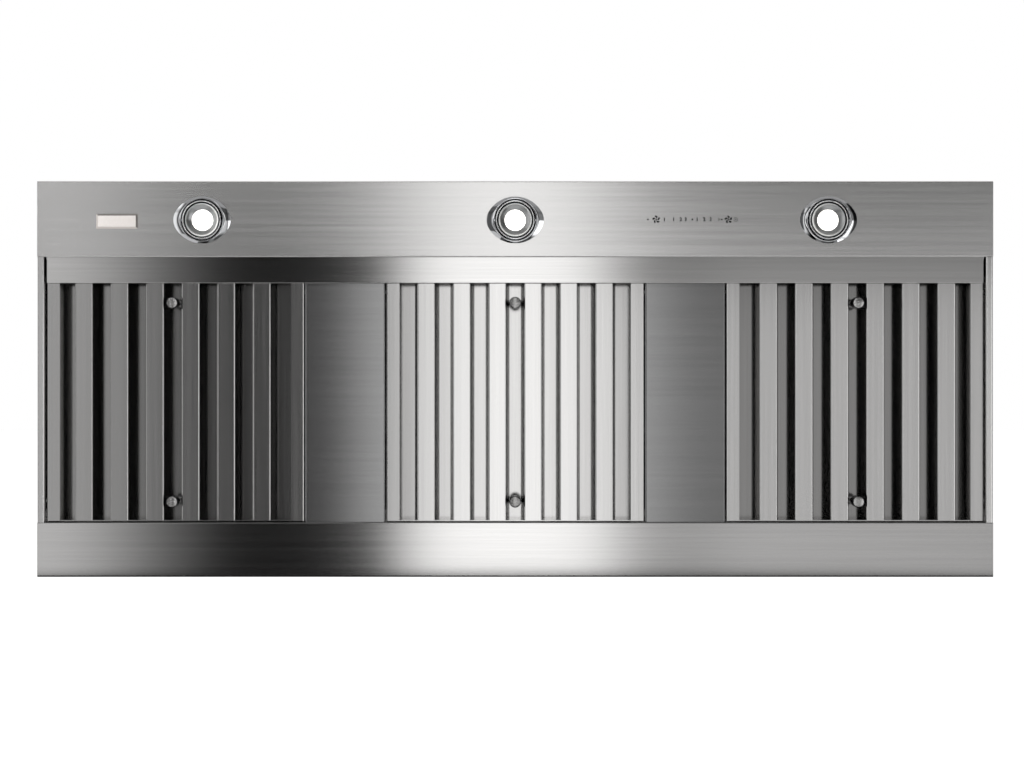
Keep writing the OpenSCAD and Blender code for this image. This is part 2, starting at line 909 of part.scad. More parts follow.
// Base plate and beaded tube that the duct slips over
module duct_collar(x) {
    tube_z = collar_t + collar_l;
    color("silver")
        at_face(x, case_h, throat_z)
            difference() {
                union() {
                    translate([-base_w / 2, 0, -base_w / 2]) cube([base_w, collar_t, base_w]);
                    along_y() {
                        cylinder(r = collar_r, h = tube_z);
                        translate([0, 0, collar_t + bead_rise])
                            rotate_extrude()
                                translate([collar_r - bead_r / 2, 0]) circle(bead_r);
                    }
                }
                translate([0, collar_t, 0]) along_y() cylinder(r = collar_bore, h = tube_z);
                translate([0, -over, 0]) along_y() cylinder(r = rim_r, h = collar_t + 2 * over);
                translate([0, spindle_y - case_h, -collar_r - over])
                    cylinder(r = spindle_r, h = 2 * (collar_r + over));
            }
}

// Rod across each collar that its two flaps turn on
module damper_spindles() {
    half_l = collar_r - spindle_end;
    color("dimgray")
        for (side = [-1, 1])
            at_face(side * blower_x, spindle_y, throat_z - half_l)
                cylinder(r = spindle_r, h = 2 * half_l);
}

// Half-round flap with its knuckles, drawn on the +X side; the first knuckle's place is given
module damper_flap(knuckle_z) {
    plate_y = -knuckle_r - web_gap - flap_t;
    color("silver")
        difference() {
            union() {
                intersection() {
                    translate([0, plate_y, 0]) along_y() cylinder(r = collar_bore - flap_play, h = flap_t);
                    translate([flap_slit / 2, plate_y - over, -collar_r])
                        cube([collar_r, flap_t + 2 * over, 2 * collar_r]);
                }
                for (side = [0, 1])
                    mirror([0, 0, side])
                        translate([0, 0, knuckle_z]) {
                            cylinder(r = knuckle_r, h = knuckle_l);
                            translate([flap_slit / 2, plate_y, 0])
                                cube([knuckle_r - flap_slit / 2, -plate_y, knuckle_l]);
                        }
            }
            translate([0, 0, -collar_r])
                cylinder(r = spindle_r + shaft_clear, h = 2 * collar_r);
        }
}

// Flap on the side of the collar away from the middle, drawn for the right side
module outer_flap() {
    at_face(blower_x, spindle_y, throat_z) damper_flap(knuckle_in + knuckle_step);
}

// Flap on the side of the collar towards the middle, drawn for the right side
module inner_flap() {
    at_face(blower_x, spindle_y, throat_z) mirror([1, 0, 0]) damper_flap(knuckle_in);
}

// Four-sided filter frame of folded sheet, with a pivot hole in each side
module filter_frame(x) {
    wall_x = filter_w / 2;
    run = filter_z1 - filter_z0;
    color("silver")
        at_face(x, 0, 0)
            difference() {
                union() {
                    for (side = [0, 1])
                        mirror([side, 0, 0])
                            translate([0, filter_set, filter_z0])
                                linear_extrude(run) {
                                    translate([wall_x - side_flat, 0])
                                        square([side_flat - filter_bend_r, filter_sheet]);
                                    translate([wall_x - filter_bend_r, filter_bend_r])
                                        bend(filter_bend_r, filter_sheet, -90);
                                    translate([wall_x - filter_sheet, filter_bend_r])
                                        square([filter_sheet, filter_d - filter_bend_r]);
                                    translate([wall_x - side_flat, filter_d - filter_sheet])
                                        square([side_flat, filter_sheet]);
                                }
                    for (z = [filter_z0, filter_z1 - filter_sheet])
                        translate([filter_sheet - wall_x, filter_set + filter_bend_r, z])
                            cube([
                                filter_w - 2 * filter_sheet,
                                filter_d - filter_bend_r - filter_sheet, filter_sheet
                            ]);
                    for (z = [filter_z0, filter_z1 - pocket_l])
                        translate([side_flat - wall_x, filter_back - filter_sheet, z])
                            cube([filter_w - 2 * side_flat, filter_sheet, pocket_l]);
                }
                translate([-wall_x - over, pivot_y, pivot_z])
                    rotate([0, 90, 0])
                        cylinder(r = pivot_r + shaft_clear, h = filter_w + 2 * over);
            }
}

// Middle of the row of baffles in the filter whose own middle is given
function row_x(x) = x + sign(x) * baffle_shift;

// Row of front baffles with their faces towards the room
module front_baffles(x) {
    color("silver")
        at_face(row_x(x), filter_set, filter_z0 + filter_sheet)
            linear_extrude(filter_z1 - filter_z0 - 2 * filter_sheet)
                for (k = [0 : baffle_n - 1])
                    translate([(k - (baffle_n - 1) / 2) * baffle_pitch, 0])
                        splayed_section(baffle_w, baffle_d, filter_sheet, filter_bend_r, baffle_lean);
}

// Row of rear baffles that face the gaps
module rear_baffles(x) {
    color("gray")
        at_face(row_x(x), filter_back - filter_sheet, filter_z0 + filter_sheet)
            linear_extrude(filter_z1 - filter_z0 - 2 * filter_sheet)
                for (k = [0 : baffle_n])
                    translate([(k - baffle_n / 2) * baffle_pitch, 0])
                        mirror([0, 1])
                            channel_section(rear_baffle_w, rear_baffle_d, filter_sheet, filter_bend_r);
}

// Two round knobs on stems, standing in the middle gap
module filter_knobs(x) {
    head_y = filter_set - knob_proud;
    stem_end = filter_back - 2 * filter_sheet;
    color("gainsboro")
        for (z = [knob_z0, knob_z1])
            at_face(row_x(x) + knob_x, head_y, z)
                along_y()
                    rotate_extrude()
                        polygon([
                            [0, 0], [knob_r - knob_chamfer, 0], [knob_r, knob_chamfer], [knob_r, knob_l],
                            [stem_r, knob_l], [stem_r, stem_end - head_y], [0, stem_end - head_y]
                        ]);
}

top_panel();
front_panel();
rear_panel();
left_panel();
right_panel();
filter_rail();
rear_ledge();
filler_left();
filler_right();
filter_pivots();
badge_plate();
touch_board();
control_module();
light_driver();
motor_capacitors();
junction_box();
junction_cover();
wire_grommet();
panel_screws();
light_flange(-light_x);  // light_flange_left
light_flange(0);  // light_flange_centre
light_flange(light_x);  // light_flange_right
light_ring(-light_x);  // light_ring_left
light_ring(0);  // light_ring_centre
light_ring(light_x);  // light_ring_right
lamp(-light_x);  // lamp_left
lamp(0);  // lamp_centre
lamp(light_x);  // lamp_right
lamp_socket(-light_x);  // lamp_socket_left
lamp_socket(0);  // lamp_socket_centre
lamp_socket(light_x);  // lamp_socket_right
mirror([1, 0, 0]) blower_housing();  // blower_housing_left
blower_housing();  // blower_housing_right
mirror([1, 0, 0]) blower_wheel();  // blower_wheel_left
blower_wheel();  // blower_wheel_right
mirror([1, 0, 0]) motor_shaft();  // motor_shaft_left
motor_shaft();  // motor_shaft_right
mirror([1, 0, 0]) blower_motor();  // blower_motor_left
blower_motor();  // blower_motor_right
mirror([1, 0, 0]) motor_bracket();  // motor_bracket_left
motor_bracket();  // motor_bracket_right
duct_collar(-blower_x);  // duct_collar_left
duct_collar(blower_x);  // duct_collar_right
damper_spindles();
mirror([1, 0, 0]) inner_flap();  // damper_flap_left_inner
mirror([1, 0, 0]) outer_flap();  // damper_flap_left_outer
inner_flap();  // damper_flap_right_inner
outer_flap();  // damper_flap_right_outer
filter_frame(-filter_x);  // filter_frame_left
filter_frame(0);  // filter_frame_centre
filter_frame(filter_x);  // filter_frame_right
front_baffles(-filter_x);  // front_baffles_left
front_baffles(0);  // front_baffles_centre
front_baffles(filter_x);  // front_baffles_right
rear_baffles(-filter_x);  // rear_baffles_left
rear_baffles(0);  // rear_baffles_centre
rear_baffles(filter_x);  // rear_baffles_right
filter_knobs(-filter_x);  // filter_knobs_left
filter_knobs(0);  // filter_knobs_centre
filter_knobs(filter_x);  // filter_knobs_right
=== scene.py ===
"""Finishes, lights and fine pieces of a stainless range hood insert that stands on its rear edge.

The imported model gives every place: X runs along the hood, -Y is the underside with the
filters, and Z runs from the rear edge up to the edge with the lights. Lengths are in metres.
"""

import math

import bmesh
import bpy
from mathutils import Euler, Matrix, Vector


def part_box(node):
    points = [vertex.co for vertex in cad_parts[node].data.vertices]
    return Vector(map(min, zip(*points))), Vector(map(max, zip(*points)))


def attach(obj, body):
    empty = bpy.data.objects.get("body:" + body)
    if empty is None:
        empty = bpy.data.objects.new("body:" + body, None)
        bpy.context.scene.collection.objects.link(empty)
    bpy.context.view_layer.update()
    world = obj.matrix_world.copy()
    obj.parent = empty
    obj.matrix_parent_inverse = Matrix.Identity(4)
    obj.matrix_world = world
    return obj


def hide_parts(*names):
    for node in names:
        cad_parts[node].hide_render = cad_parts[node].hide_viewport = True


bl_info = {
    "name": "Range Hood Insert",
    "version": (1, 0, 0),
    "blender": (4, 5, 0),
    "location": "View3D > Sidebar > Range Hood",
    "description": "Finishes, lamps, knobs, printed marks and studio for a stainless hood insert",
    "category": "Object",
}

MM = 0.001
SIDES = ("left", "centre", "right")
ENDS = ("left", "right")

# Steps of the curved outlines, and corners of the circles that they are turned on.
LIP_STEPS = 8
DOME_STEPS = 12
BALL_STEPS = 14
BOWL_STEPS = 8
FINE_COUNT = 128
KNOB_COUNT = 64
BAR_COUNT = 32
PIN_COUNT = 24

# Rim of a lamp's glass, as pairs in mm: inset from the lamp's edge, and depth behind its front.
LAMP_RIM = ((1.2, 0.6), (0.8, 0.0), (0.3, 0.0), (0.0, 0.4), (0.0, 7.0), (0.6, 7.0))
# Shares of the radius at which a domed lens and a knob's domed face have their loops.
LENS_SHARES = (0.9, 0.7, 0.45, 0.2)
KNOB_SHARES = (0.9, 0.8, 0.65, 0.5, 0.35, 0.2, 0.08)
# Slots of a lamp's materials.
GLASS, REFLECTOR, LENS = range(3)

# Places of the printed marks, in mm to the right of the first dot.
DOT_PLACES = (0.0, 68.4, 113.8)
FAN_PLACES = (12.9, 123.9)
BAR_PLACE = 25.4
FIGURE_PLACES = (("1", 39.7), ("2", 50.6), ("3", 58.0), ("1", 75.7), ("2", 86.7), ("3", 96.3))
CRESCENT_PLACE = 107.3
RING_PLACE = 135
FAN_BLADES = 5

# Grey levels of the studio wall. In front, each stands at the place along the hood, in metres,
# where the strips show it; at the sides, at its share of the turn from the back.
FRONT_LEVELS = (
    (-0.745, 0.95), (-0.64, 0.66), (-0.58, 0.40), (-0.53, 0.20), (-0.44, 0.01), (-0.26, 0.01),
    (-0.20, 0.12), (-0.14, 1.45), (-0.10, 1.66), (0.07, 1.66), (0.12, 1.45), (0.17, 0.78),
    (0.21, 0.52), (0.27, 0.52), (0.34, 0.68), (0.75, 0.60),
)
LEFT_LEVELS = (
    (0.0, 0.7), (0.10, 0.6), (0.17, 0.8), (0.22, 0.1), (0.27, 1.1), (0.345, 1.0),
    (0.365, 0.1), (0.425, 0.1),
)
RIGHT_LEVELS = (
    (0.583, 0.10), (0.587, 1.9), (0.635, 1.9), (0.65, 0.05), (0.74, 0.05), (0.78, 0.6),
    (0.85, 0.7), (0.98, 0.7),
)
# Strength of the wall's glow: the levels over this are the shares that its colour ramp holds.
WALL_GLOW = 2.0
WALL_HALF_HEIGHT = 3.2

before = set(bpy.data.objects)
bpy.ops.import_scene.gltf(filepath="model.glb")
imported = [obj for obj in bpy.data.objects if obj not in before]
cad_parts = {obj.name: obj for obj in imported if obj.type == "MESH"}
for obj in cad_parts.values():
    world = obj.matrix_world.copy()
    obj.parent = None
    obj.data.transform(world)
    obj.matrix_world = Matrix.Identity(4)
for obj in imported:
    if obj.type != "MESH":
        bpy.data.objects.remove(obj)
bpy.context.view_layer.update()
FACE_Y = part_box("front_panel")[0].y
STRIP_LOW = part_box("front_panel")[0].z


def linear(hex_colour):
    """Linear RGB of an sRGB hex colour."""
    shares = [int(hex_colour[k : k + 2], 16) / 255 for k in (1, 3, 5)]
    return tuple(c / 12.92 if c <= 0.04045 else ((c + 0.055) / 1.055) ** 2.4 for c in shares)


class HoodLightSizes(bpy.types.PropertyGroup):
    """Sizes of the three recessed lights."""

    bezel_rise: bpy.props.FloatProperty(
        name="Bezel rise",
        description="How far the crest of the bezel stands in front of the steel",
        default=3.8 * MM,
        unit="LENGTH",
    )
    bezel_lip: bpy.props.FloatProperty(
        name="Bezel lip",
        description="Radius of the bezel's rounded inner lip",
        default=0.5 * MM,
        unit="LENGTH",
    )
    bezel_edge: bpy.props.FloatProperty(
        name="Bezel edge",
        description="Thickness of the bezel's outer edge",
        default=0.7 * MM,
        unit="LENGTH",
    )
    bezel_slope: bpy.props.FloatProperty(
        name="Bezel slope",
        description="Width over which the bezel rises from its outer edge to its crest",
        default=8.0 * MM,
        unit="LENGTH",
    )
    ring_groove: bpy.props.FloatProperty(
        name="Ring groove",
        description="Width of the dark groove between the lamp and the tilting ring",
        default=2.2 * MM,
        unit="LENGTH",
    )
    groove_depth: bpy.props.FloatProperty(
        name="Groove depth",
        description="Depth of that groove behind the lamp's rim",
        default=5.0 * MM,
        unit="LENGTH",
    )
    lens_radius: bpy.props.FloatProperty(
        name="Lens radius",
        description="Radius of the lit middle of the lamp",
        default=16.2 * MM,
        unit="LENGTH",
    )
    facet_rows: bpy.props.IntProperty(
        name="Facet rows",
        description="Rows of facets from the lamp's rim to its lens",
        default=5,
    )
    facet_columns: bpy.props.IntProperty(
        name="Facet columns",
        description="Facets round the lamp's reflector",
        default=36,
    )


class HoodKnobSizes(bpy.types.PropertyGroup):
    """Sizes of the filter knobs."""

    chamfer: bpy.props.FloatProperty(
        name="Chamfer",
        description="Width of the turned chamfer round a knob's face",
        default=1.2 * MM,
        unit="LENGTH",
    )
    dome: bpy.props.FloatProperty(
        name="Dome",
        description="How far a knob's face swells in its middle",
        default=0.8 * MM,
        unit="LENGTH",
    )
    groove: bpy.props.FloatProperty(
        name="Groove",
        description="Depth of the shallow groove behind a knob's head",
        default=0.6 * MM,
        unit="LENGTH",
    )


class HoodMarkSizes(bpy.types.PropertyGroup):
    """Sizes of the marks printed over the touch sensor."""

    ink: bpy.props.FloatProperty(
        name="Ink",
        description="Thickness of the printed ink",
        default=0.06 * MM,
        unit="LENGTH",
    )
    fan_radius: bpy.props.FloatProperty(
        name="Fan radius",
        description="Radius of a fan symbol",
        default=6.2 * MM,
        unit="LENGTH",
    )
    figure_height: bpy.props.FloatProperty(
        name="Figure height",
        description="Height of the plain figures",
        default=5.4 * MM,
        unit="LENGTH",
    )
    rise: bpy.props.FloatProperty(
        name="Rise",
        description="Height of the row of marks above the strip's lower edge",
        default=57.8 * MM,
        unit="LENGTH",
    )


class HoodFinish(bpy.types.PropertyGroup):
    """Colours that set how the hood looks."""

    sheet_colour: bpy.props.FloatVectorProperty(
        name="Sheet steel",
        description="Colour of the brushed stainless sheet",
        subtype="COLOR",
        default=linear("#C9C8C7"),
    )
    bright_colour: bpy.props.FloatVectorProperty(
        name="Filter steel",
        description="Colour of the bright stainless sheet of the filters",
        subtype="COLOR",
        default=linear("#CDCCCB"),
    )
    chrome_colour: bpy.props.FloatVectorProperty(
        name="Chrome",
        description="Colour of the polished chrome plate",
        subtype="COLOR",
        default=linear("#E2E3E5"),
    )
    zinc_colour: bpy.props.FloatVectorProperty(
        name="Galvanised steel",
        description="Colour of the zinc coat on the blowers and collars",
        subtype="COLOR",
        default=linear("#B4B8BC"),
    )


class HoodStage(bpy.types.PropertyGroup):
    """The studio round the hood."""

    camera_distance: bpy.props.FloatProperty(
        name="Camera distance",
        description="From the camera to the front of the strips",
        default=3.0,
        unit="LENGTH",
    )
    camera_x: bpy.props.FloatProperty(
        name="Camera place",
        description="How far the camera stands to the right of the hood's middle",
        default=-4.9 * MM,
        unit="LENGTH",
    )
    camera_height: bpy.props.FloatProperty(
        name="Camera height",
        description="Height of the camera above the floor",
        default=296.8 * MM,
        unit="LENGTH",
    )
    focal: bpy.props.FloatProperty(
        name="Focal length",
        description="Focal length in millimetres on a sensor 36 mm wide",
        default=68.6,
    )
    wall_radius: bpy.props.FloatProperty(
        name="Wall radius",
        description="Radius of the round studio wall that the steel reflects",
        default=3.6,
        unit="LENGTH",
    )


def set_inputs(node, inputs):
    """Gives sockets their numbers, their colours, or what another node puts out."""
    for socket, value in inputs.items():
        if isinstance(value, bpy.types.Node):
            value = value.outputs[0]
        if isinstance(value, bpy.types.NodeSocket):
            node.id_data.links.new(value, node.inputs[socket])
        else:
            node.inputs[socket].default_value = value


def add_node(tree, kind, inputs=None, **settings):
    """Adds a node with its settings, and with the values and links of its inputs."""
    made = tree.nodes.new(kind)
    for key, value in settings.items():
        setattr(made, key, value)
    set_inputs(made, inputs or {})
    return made


def new_material(name, colour, metallic, roughness):
    """A material with one Principled shader; its tree and shader come back with it."""
    material = bpy.data.materials.new(name)
    material.use_nodes = True
    tree = material.node_tree
    shader = tree.nodes["Principled BSDF"]
    set_inputs(shader, {"Base Color": (*colour, 1), "Metallic": metallic, "Roughness": roughness})
    return material, tree, shader


def stretched_noise(tree, size, detail):
    """Noise whose features measure size, in metres, along X, Y and Z."""
    place = add_node(tree, "ShaderNodeTexCoord").outputs["Object"]
    scale = tuple(1 / s for s in size)
    scaled = add_node(tree, "ShaderNodeMapping", {"Vector": place, "Scale": scale})
    return add_node(tree, "ShaderNodeTexNoise", {"Vector": scaled, "Scale": 1.0, "Detail": detail})


def vary(tree, shader, colour, shades, roughs):
    """Varies a finish's colour and roughness over its surface.

    Both shades and roughs give a pattern and the values it runs between, and then what these
    become: factors on the colour, or roughnesses.
    """
    shade, rough = (
        add_node(
            tree,
            "ShaderNodeMapRange",
            {"Value": pattern, "From Min": start, "From Max": end, "To Min": low, "To Max": high},
        )
        for pattern, start, end, low, high in (shades, roughs)
    )
    coloured = add_node(tree, "ShaderNodeVectorMath", {0: colour, 1: shade}, operation="MULTIPLY")
    set_inputs(shader, {"Base Color": coloured, "Roughness": rough})


def grained_steel(name, colour, grain, roughness, blur, metal=1.0, bow=0.0):
    """Stainless sheet brushed along one axis.

    Brushing leaves fine scratches along the grain. They smear reflections across it into
    soft bands and keep them crisp along it, with faint lighter and darker streaks. The real
    scratches are about 0.1 mm apart; here they are drawn coarse enough to show. Less metal
    stands for the clear coat of a satin sheet, which scatters some light evenly. A bow leans
    the sheet's shading towards the hood's middle, as thin sheet is never quite flat.
    """
    streak, width, depth = 110 * MM, 0.9 * MM, 0.0014 * MM
    cloud_size = 6
    material, tree, shader = new_material(name, colour, metal, roughness)
    shader.inputs["Anisotropic"].default_value = blur
    size = [width] * 3
    size["XYZ".index(grain)] = streak
    streaks = stretched_noise(tree, size, 3.0)
    clouds = stretched_noise(tree, [s * cloud_size for s in size], 1.0)
    both = add_node(tree, "ShaderNodeMath", {0: streaks, 1: clouds}, operation="ADD")
    shades = (both, 0.75, 1.25, 0.96, 1.04)
    roughs = (both, 0.75, 1.25, roughness * 0.95, roughness * 1.05)
    vary(tree, shader, colour, shades, roughs)
    relief = add_node(
        tree, "ShaderNodeBump", {"Height": streaks, "Strength": 0.5, "Distance": depth}
    )
    if bow:
        place = add_node(tree, "ShaderNodeTexCoord").outputs["Object"]
        parts = add_node(tree, "ShaderNodeSeparateXYZ", {"Vector": place})
        reach = add_node(tree, "ShaderNodeMath", {0: parts.outputs["X"]}, operation="ABSOLUTE")
        lean = add_node(tree, "ShaderNodeBump", {"Height": reach, "Strength": 1.0, "Distance": bow})
        set_inputs(relief, {"Normal": lean})
    across = add_node(tree, "ShaderNodeTangent", direction_type="RADIAL", axis=grain)
    set_inputs(shader, {"Normal": relief, "Tangent": across})
    return material


def galvanised(name, colour):
    """Hot-dip zinc on sheet steel: dull grey metal with a spangle of crystals about 9 mm across."""
    spangle = 9 * MM
    material, tree, shader = new_material(name, colour, 1.0, 0.38)
    place = add_node(tree, "ShaderNodeTexCoord").outputs["Object"]
    crystals = add_node(tree, "ShaderNodeTexVoronoi", {"Vector": place, "Scale": 1 / spangle})
    split = add_node(tree, "ShaderNodeSeparateColor", {"Color": crystals.outputs["Color"]})
    shades = (split.outputs["Red"], 0.0, 1.0, 0.82, 1.08)
    roughs = (split.outputs["Green"], 0.0, 1.0, 0.28, 0.48)
    vary(tree, shader, colour, shades, roughs)
    return material


def speckled(name, colour, metallic, roughness, size, variation=0.05, relief=0.0):
    """A finish whose colour and roughness vary a little over spots of a real size."""
    material, tree, shader = new_material(name, colour, metallic, roughness)
    spots = stretched_noise(tree, [size] * 3, 4.0)
    low_rough, high_rough = roughness * (1 - 2 * variation), roughness * (1 + 2 * variation)
    shades = (spots, 0.3, 0.7, 1 - variation, 1 + variation)
    vary(tree, shader, colour, shades, (spots, 0.3, 0.7, low_rough, high_rough))
    if relief:
        bumps = add_node(
            tree, "ShaderNodeBump", {"Height": spots, "Strength": 0.5, "Distance": relief}
        )
        set_inputs(shader, {"Normal": bumps})
    return material


def polished_chrome():
    """Bright chrome plate: a crisp mirror with a faint haze of handling marks."""
    colour = bpy.context.scene.hood_finish.chrome_colour
    return speckled("polished_chrome", colour, 1.0, 0.06, 6 * MM, 0.03)


def lit_lens():
    """Frosted lens of a lit reflector lamp: an even glow, white with a trace of warmth."""
    material, _, shader = new_material("frosted_lamp_lens", linear("#F4F3EE"), 0.0, 0.35)
    glow = {"Emission Color": (*linear("#FFFDF6"), 1), "Emission Strength": 1.8}
    set_inputs(shader, glow)
    return material


def finish_node(name, material):
    """Gives a CAD node its material."""
    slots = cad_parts[name].data.materials
    slots.clear()
    slots.append(material)


def middle(name):
    """Middle of a CAD node's box."""
    low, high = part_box(name)
    return (low + high) / 2


def circle(centre, radius, y, count, turn=0.0):
    """Points of a circle about the line along Y through centre, turned by a share of a step."""
    angles = [2 * math.pi * (k + turn) / count for k in range(count)]
    return [
        (centre[0] + radius * math.cos(a), centre[1] + y, centre[2] + radius * math.sin(a))
        for a in angles
    ]


def join(mesh, first, second, slot=0):
    """Adds quads between two loops of vertices."""
    for k in range(len(first)):
        n = (k + 1) % len(first)
        mesh.faces.new((first[k], first[n], second[n], second[k])).material_index = slot


def skin(mesh, loops, ends="capped", slot=0):
    """Adds quads between neighbouring loops of points, whose ends are capped, joined or open."""
    rows = [[mesh.verts.new(p) for p in loop] for loop in loops]
    for first, second in zip(rows, rows[1:]):
        join(mesh, first, second, slot)
    if ends == "joined":
        join(mesh, rows[-1], rows[0], slot)
    elif ends == "capped":
        mesh.faces.new(list(reversed(rows[0]))).material_index = slot
        mesh.faces.new(rows[-1]).material_index = slot


def turned(mesh, outline, centre, count, ends="capped", slot=0):
    """Adds an outline of (radius, y) points turned about the line along Y through centre."""
    skin(mesh, [circle(centre, r, y, count) for r, y in outline], ends, slot)


def bar(mesh, ends, y, z, radius):
    """Adds a round bar along X between two places."""
    angles = [2 * math.pi * k / BAR_COUNT for k in range(BAR_COUNT)]
    loops = [
        [(x, y + radius * math.cos(a), z + radius * math.sin(a)) for a in angles] for x in ends
    ]
    skin(mesh, loops)


def block(mesh, low, high, bevel):
    """Adds a box between two corners, with bevelled edges."""
    made = bmesh.ops.create_cube(mesh, size=1)["verts"]
    for vertex in made:
        vertex.co = Vector([l + (h - l) * (c + 0.5) for l, h, c in zip(low, high, vertex.co)])
    edges = list(dict.fromkeys(e for v in made for e in v.link_edges))
    bmesh.ops.bevel(mesh, geom=edges, offset=bevel, segments=2, affect="EDGES", profile=0.5)


def new_object(name, mesh):
    """Makes an object of a finished mesh and puts it in the scene."""
    data = bpy.data.meshes.new(name)
    mesh.to_mesh(data)
    mesh.free()
    made = bpy.data.objects.new(name, data)
    bpy.context.scene.collection.objects.link(made)
    return made


def piece(name, mesh, body, materials, replaces=(), angle=35):
    """Makes the object of a finished mesh, and ties it to its body, slot and nodes."""
    bmesh.ops.recalc_face_normals(mesh, faces=mesh.faces)
    made = new_object(name, mesh)
    for material in materials:
        made.data.materials.append(material)
    made.data.shade_smooth()
    made.data.set_sharp_from_angle(angle=math.radians(angle))
    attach(made, body)
    if replaces:
        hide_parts(*replaces)
    return made


def oval_reach(angle, half_w, half_h, end_share=0.72):
    """Radius at an angle of the oval made of four arcs that is the light's outline."""
    end_r = half_h * end_share
    end_x = half_w - end_r
    cap = half_h - end_r
    drop = (end_x * end_x - cap * cap) / (2 * cap)
    side_r = half_h + drop
    cos, sin = abs(math.cos(angle)), abs(math.sin(angle))
    side = -drop * sin + math.sqrt(side_r**2 - (drop * cos) ** 2)
    tangent_x = side_r * end_x / (side_r - end_r)
    if side * cos < tangent_x:
        return side
    return end_x * cos + math.sqrt(end_r**2 - (end_x * sin) ** 2)


class HOOD_OT_finish_case(bpy.types.Operator):
    """Gives the case's sheet panels their brushed stainless finish"""

    bl_idname = "hood.finish_case"
    bl_label = "Finish Case"

    def execute(self, context):
        colour = context.scene.hood_finish.sheet_colour
        # Satin strip under its clear coat: broad soft bands of light that fade into each other.
        strip = grained_steel("stainless_satin_strip", linear("#D2D1D0"), "X", 0.232, 0.3, 0.92)
        # Brushed along the hood: bright and dark bands, sharper than on the satin strip.
        trim = grained_steel("stainless_brushed_trim", colour, "X", 0.16, 0.85)
        # Brushed up and down: pale and even, with upright streaks.
        wall = grained_steel("stainless_brushed_wall", linear("#DDDCDB"), "Z", 0.18, 0.4)
        # Thin sheet with a slight bow, whose shading fades from dark to light across it. Its dark
        # grey is painted shade on the same stainless sheet.
        filler_shaded_grey, filler_bow = linear("#828282"), 22 * MM
        filler = grained_steel(
            "stainless_brushed_filler", filler_shaded_grey, "X", 0.13, 0.6, 0.9, filler_bow
        )
        finish_node("front_panel", strip)
        for name in ("rear_panel", "filter_rail", "rear_ledge"):
            finish_node(name, trim)
        for name in ("left_panel", "right_panel", "top_panel"):
            finish_node(name, wall)
        for name in ("filler_left", "filler_right"):
            finish_node(name, filler)
        return {"FINISHED"}


class HOOD_OT_finish_filters(bpy.types.Operator):
    """Gives the filters their bright stainless finish"""

    bl_idname = "hood.finish_filters"
    bl_label = "Finish Filters"

    def execute(self, context):
        bright = context.scene.hood_finish.bright_colour
        # Baffle colours per filter: the darker ones are painted shade on one bright stainless
        # sheet.
        front_tones_and_shade = {"left": linear("#BFBEBD"), "centre": bright, "right": bright}
        rear_tones_and_shade = {"left": linear("#ABAAA9"), "centre": linear("#BEBDBC"), "right": linear("#999897")}
        # Drawn steel of pins and screws: grey metal with a plain soft shine.
        pins = speckled("bright_drawn_steel", linear("#A9AAAC"), 1.0, 0.3, 3 * MM)
        for side in SIDES:
            # Bright-rolled baffles: crisp upright reflections. Each filter's sheets carry painted
            # light and shade in their tone, and the rear ones a darker painted shade, as they stand
            # deep in the filter.
            front = grained_steel(f"stainless_front_baffle_{side}", front_tones_and_shade[side], "Z", 0.16, 0.4)
            rear = grained_steel(f"stainless_rear_baffle_{side}", rear_tones_and_shade[side], "Z", 0.15, 0.3)
            finish_node(f"filter_frame_{side}", front)
            finish_node(f"front_baffles_{side}", front)
            finish_node(f"rear_baffles_{side}", rear)
        for name in ("filter_pivots", "panel_screws", "damper_spindles"):
            finish_node(name, pins)
        for end in ENDS:
            finish_node(f"motor_shaft_{end}", pins)
        return {"FINISHED"}


class HOOD_OT_finish_blowers(bpy.types.Operator):
    """Gives the blowers, collars and dampers their zinc, paint and aluminium"""

    bl_idname = "hood.finish_blowers"
    bl_label = "Finish Blowers"

    def execute(self, context):
        zinc = galvanised("galvanised_spangle", context.scene.hood_finish.zinc_colour)
        # Pressed galvanised steel: darker and duller than the housing.
        wheel = speckled("galvanised_fan_steel", linear("#8F9296"), 1.0, 0.42, 5 * MM, 0.08)
        # Stoved enamel on a motor: black, with a soft shine and a slight orange peel.
        paint = speckled(
            "stoved_black_enamel", linear("#1B1B1D"), 0.0, 0.38, 1.5 * MM, 0.1, 0.05 * MM
        )
        # Mill-finish aluminium sheet: pale dull metal with faint rolling lines.
        flap = grained_steel("mill_finish_aluminium", linear("#C4C5C7"), "Z", 0.36, 0.3)
        for end in ENDS:
            for name in ("blower_housing", "duct_collar", "motor_bracket"):
                finish_node(f"{name}_{end}", zinc)
            finish_node(f"blower_wheel_{end}", wheel)
            finish_node(f"blower_motor_{end}", paint)
            for place in ("inner", "outer"):
                finish_node(f"damper_flap_{end}_{place}", flap)
        for name in ("junction_box", "junction_cover"):
            finish_node(name, zinc)
        return {"FINISHED"}


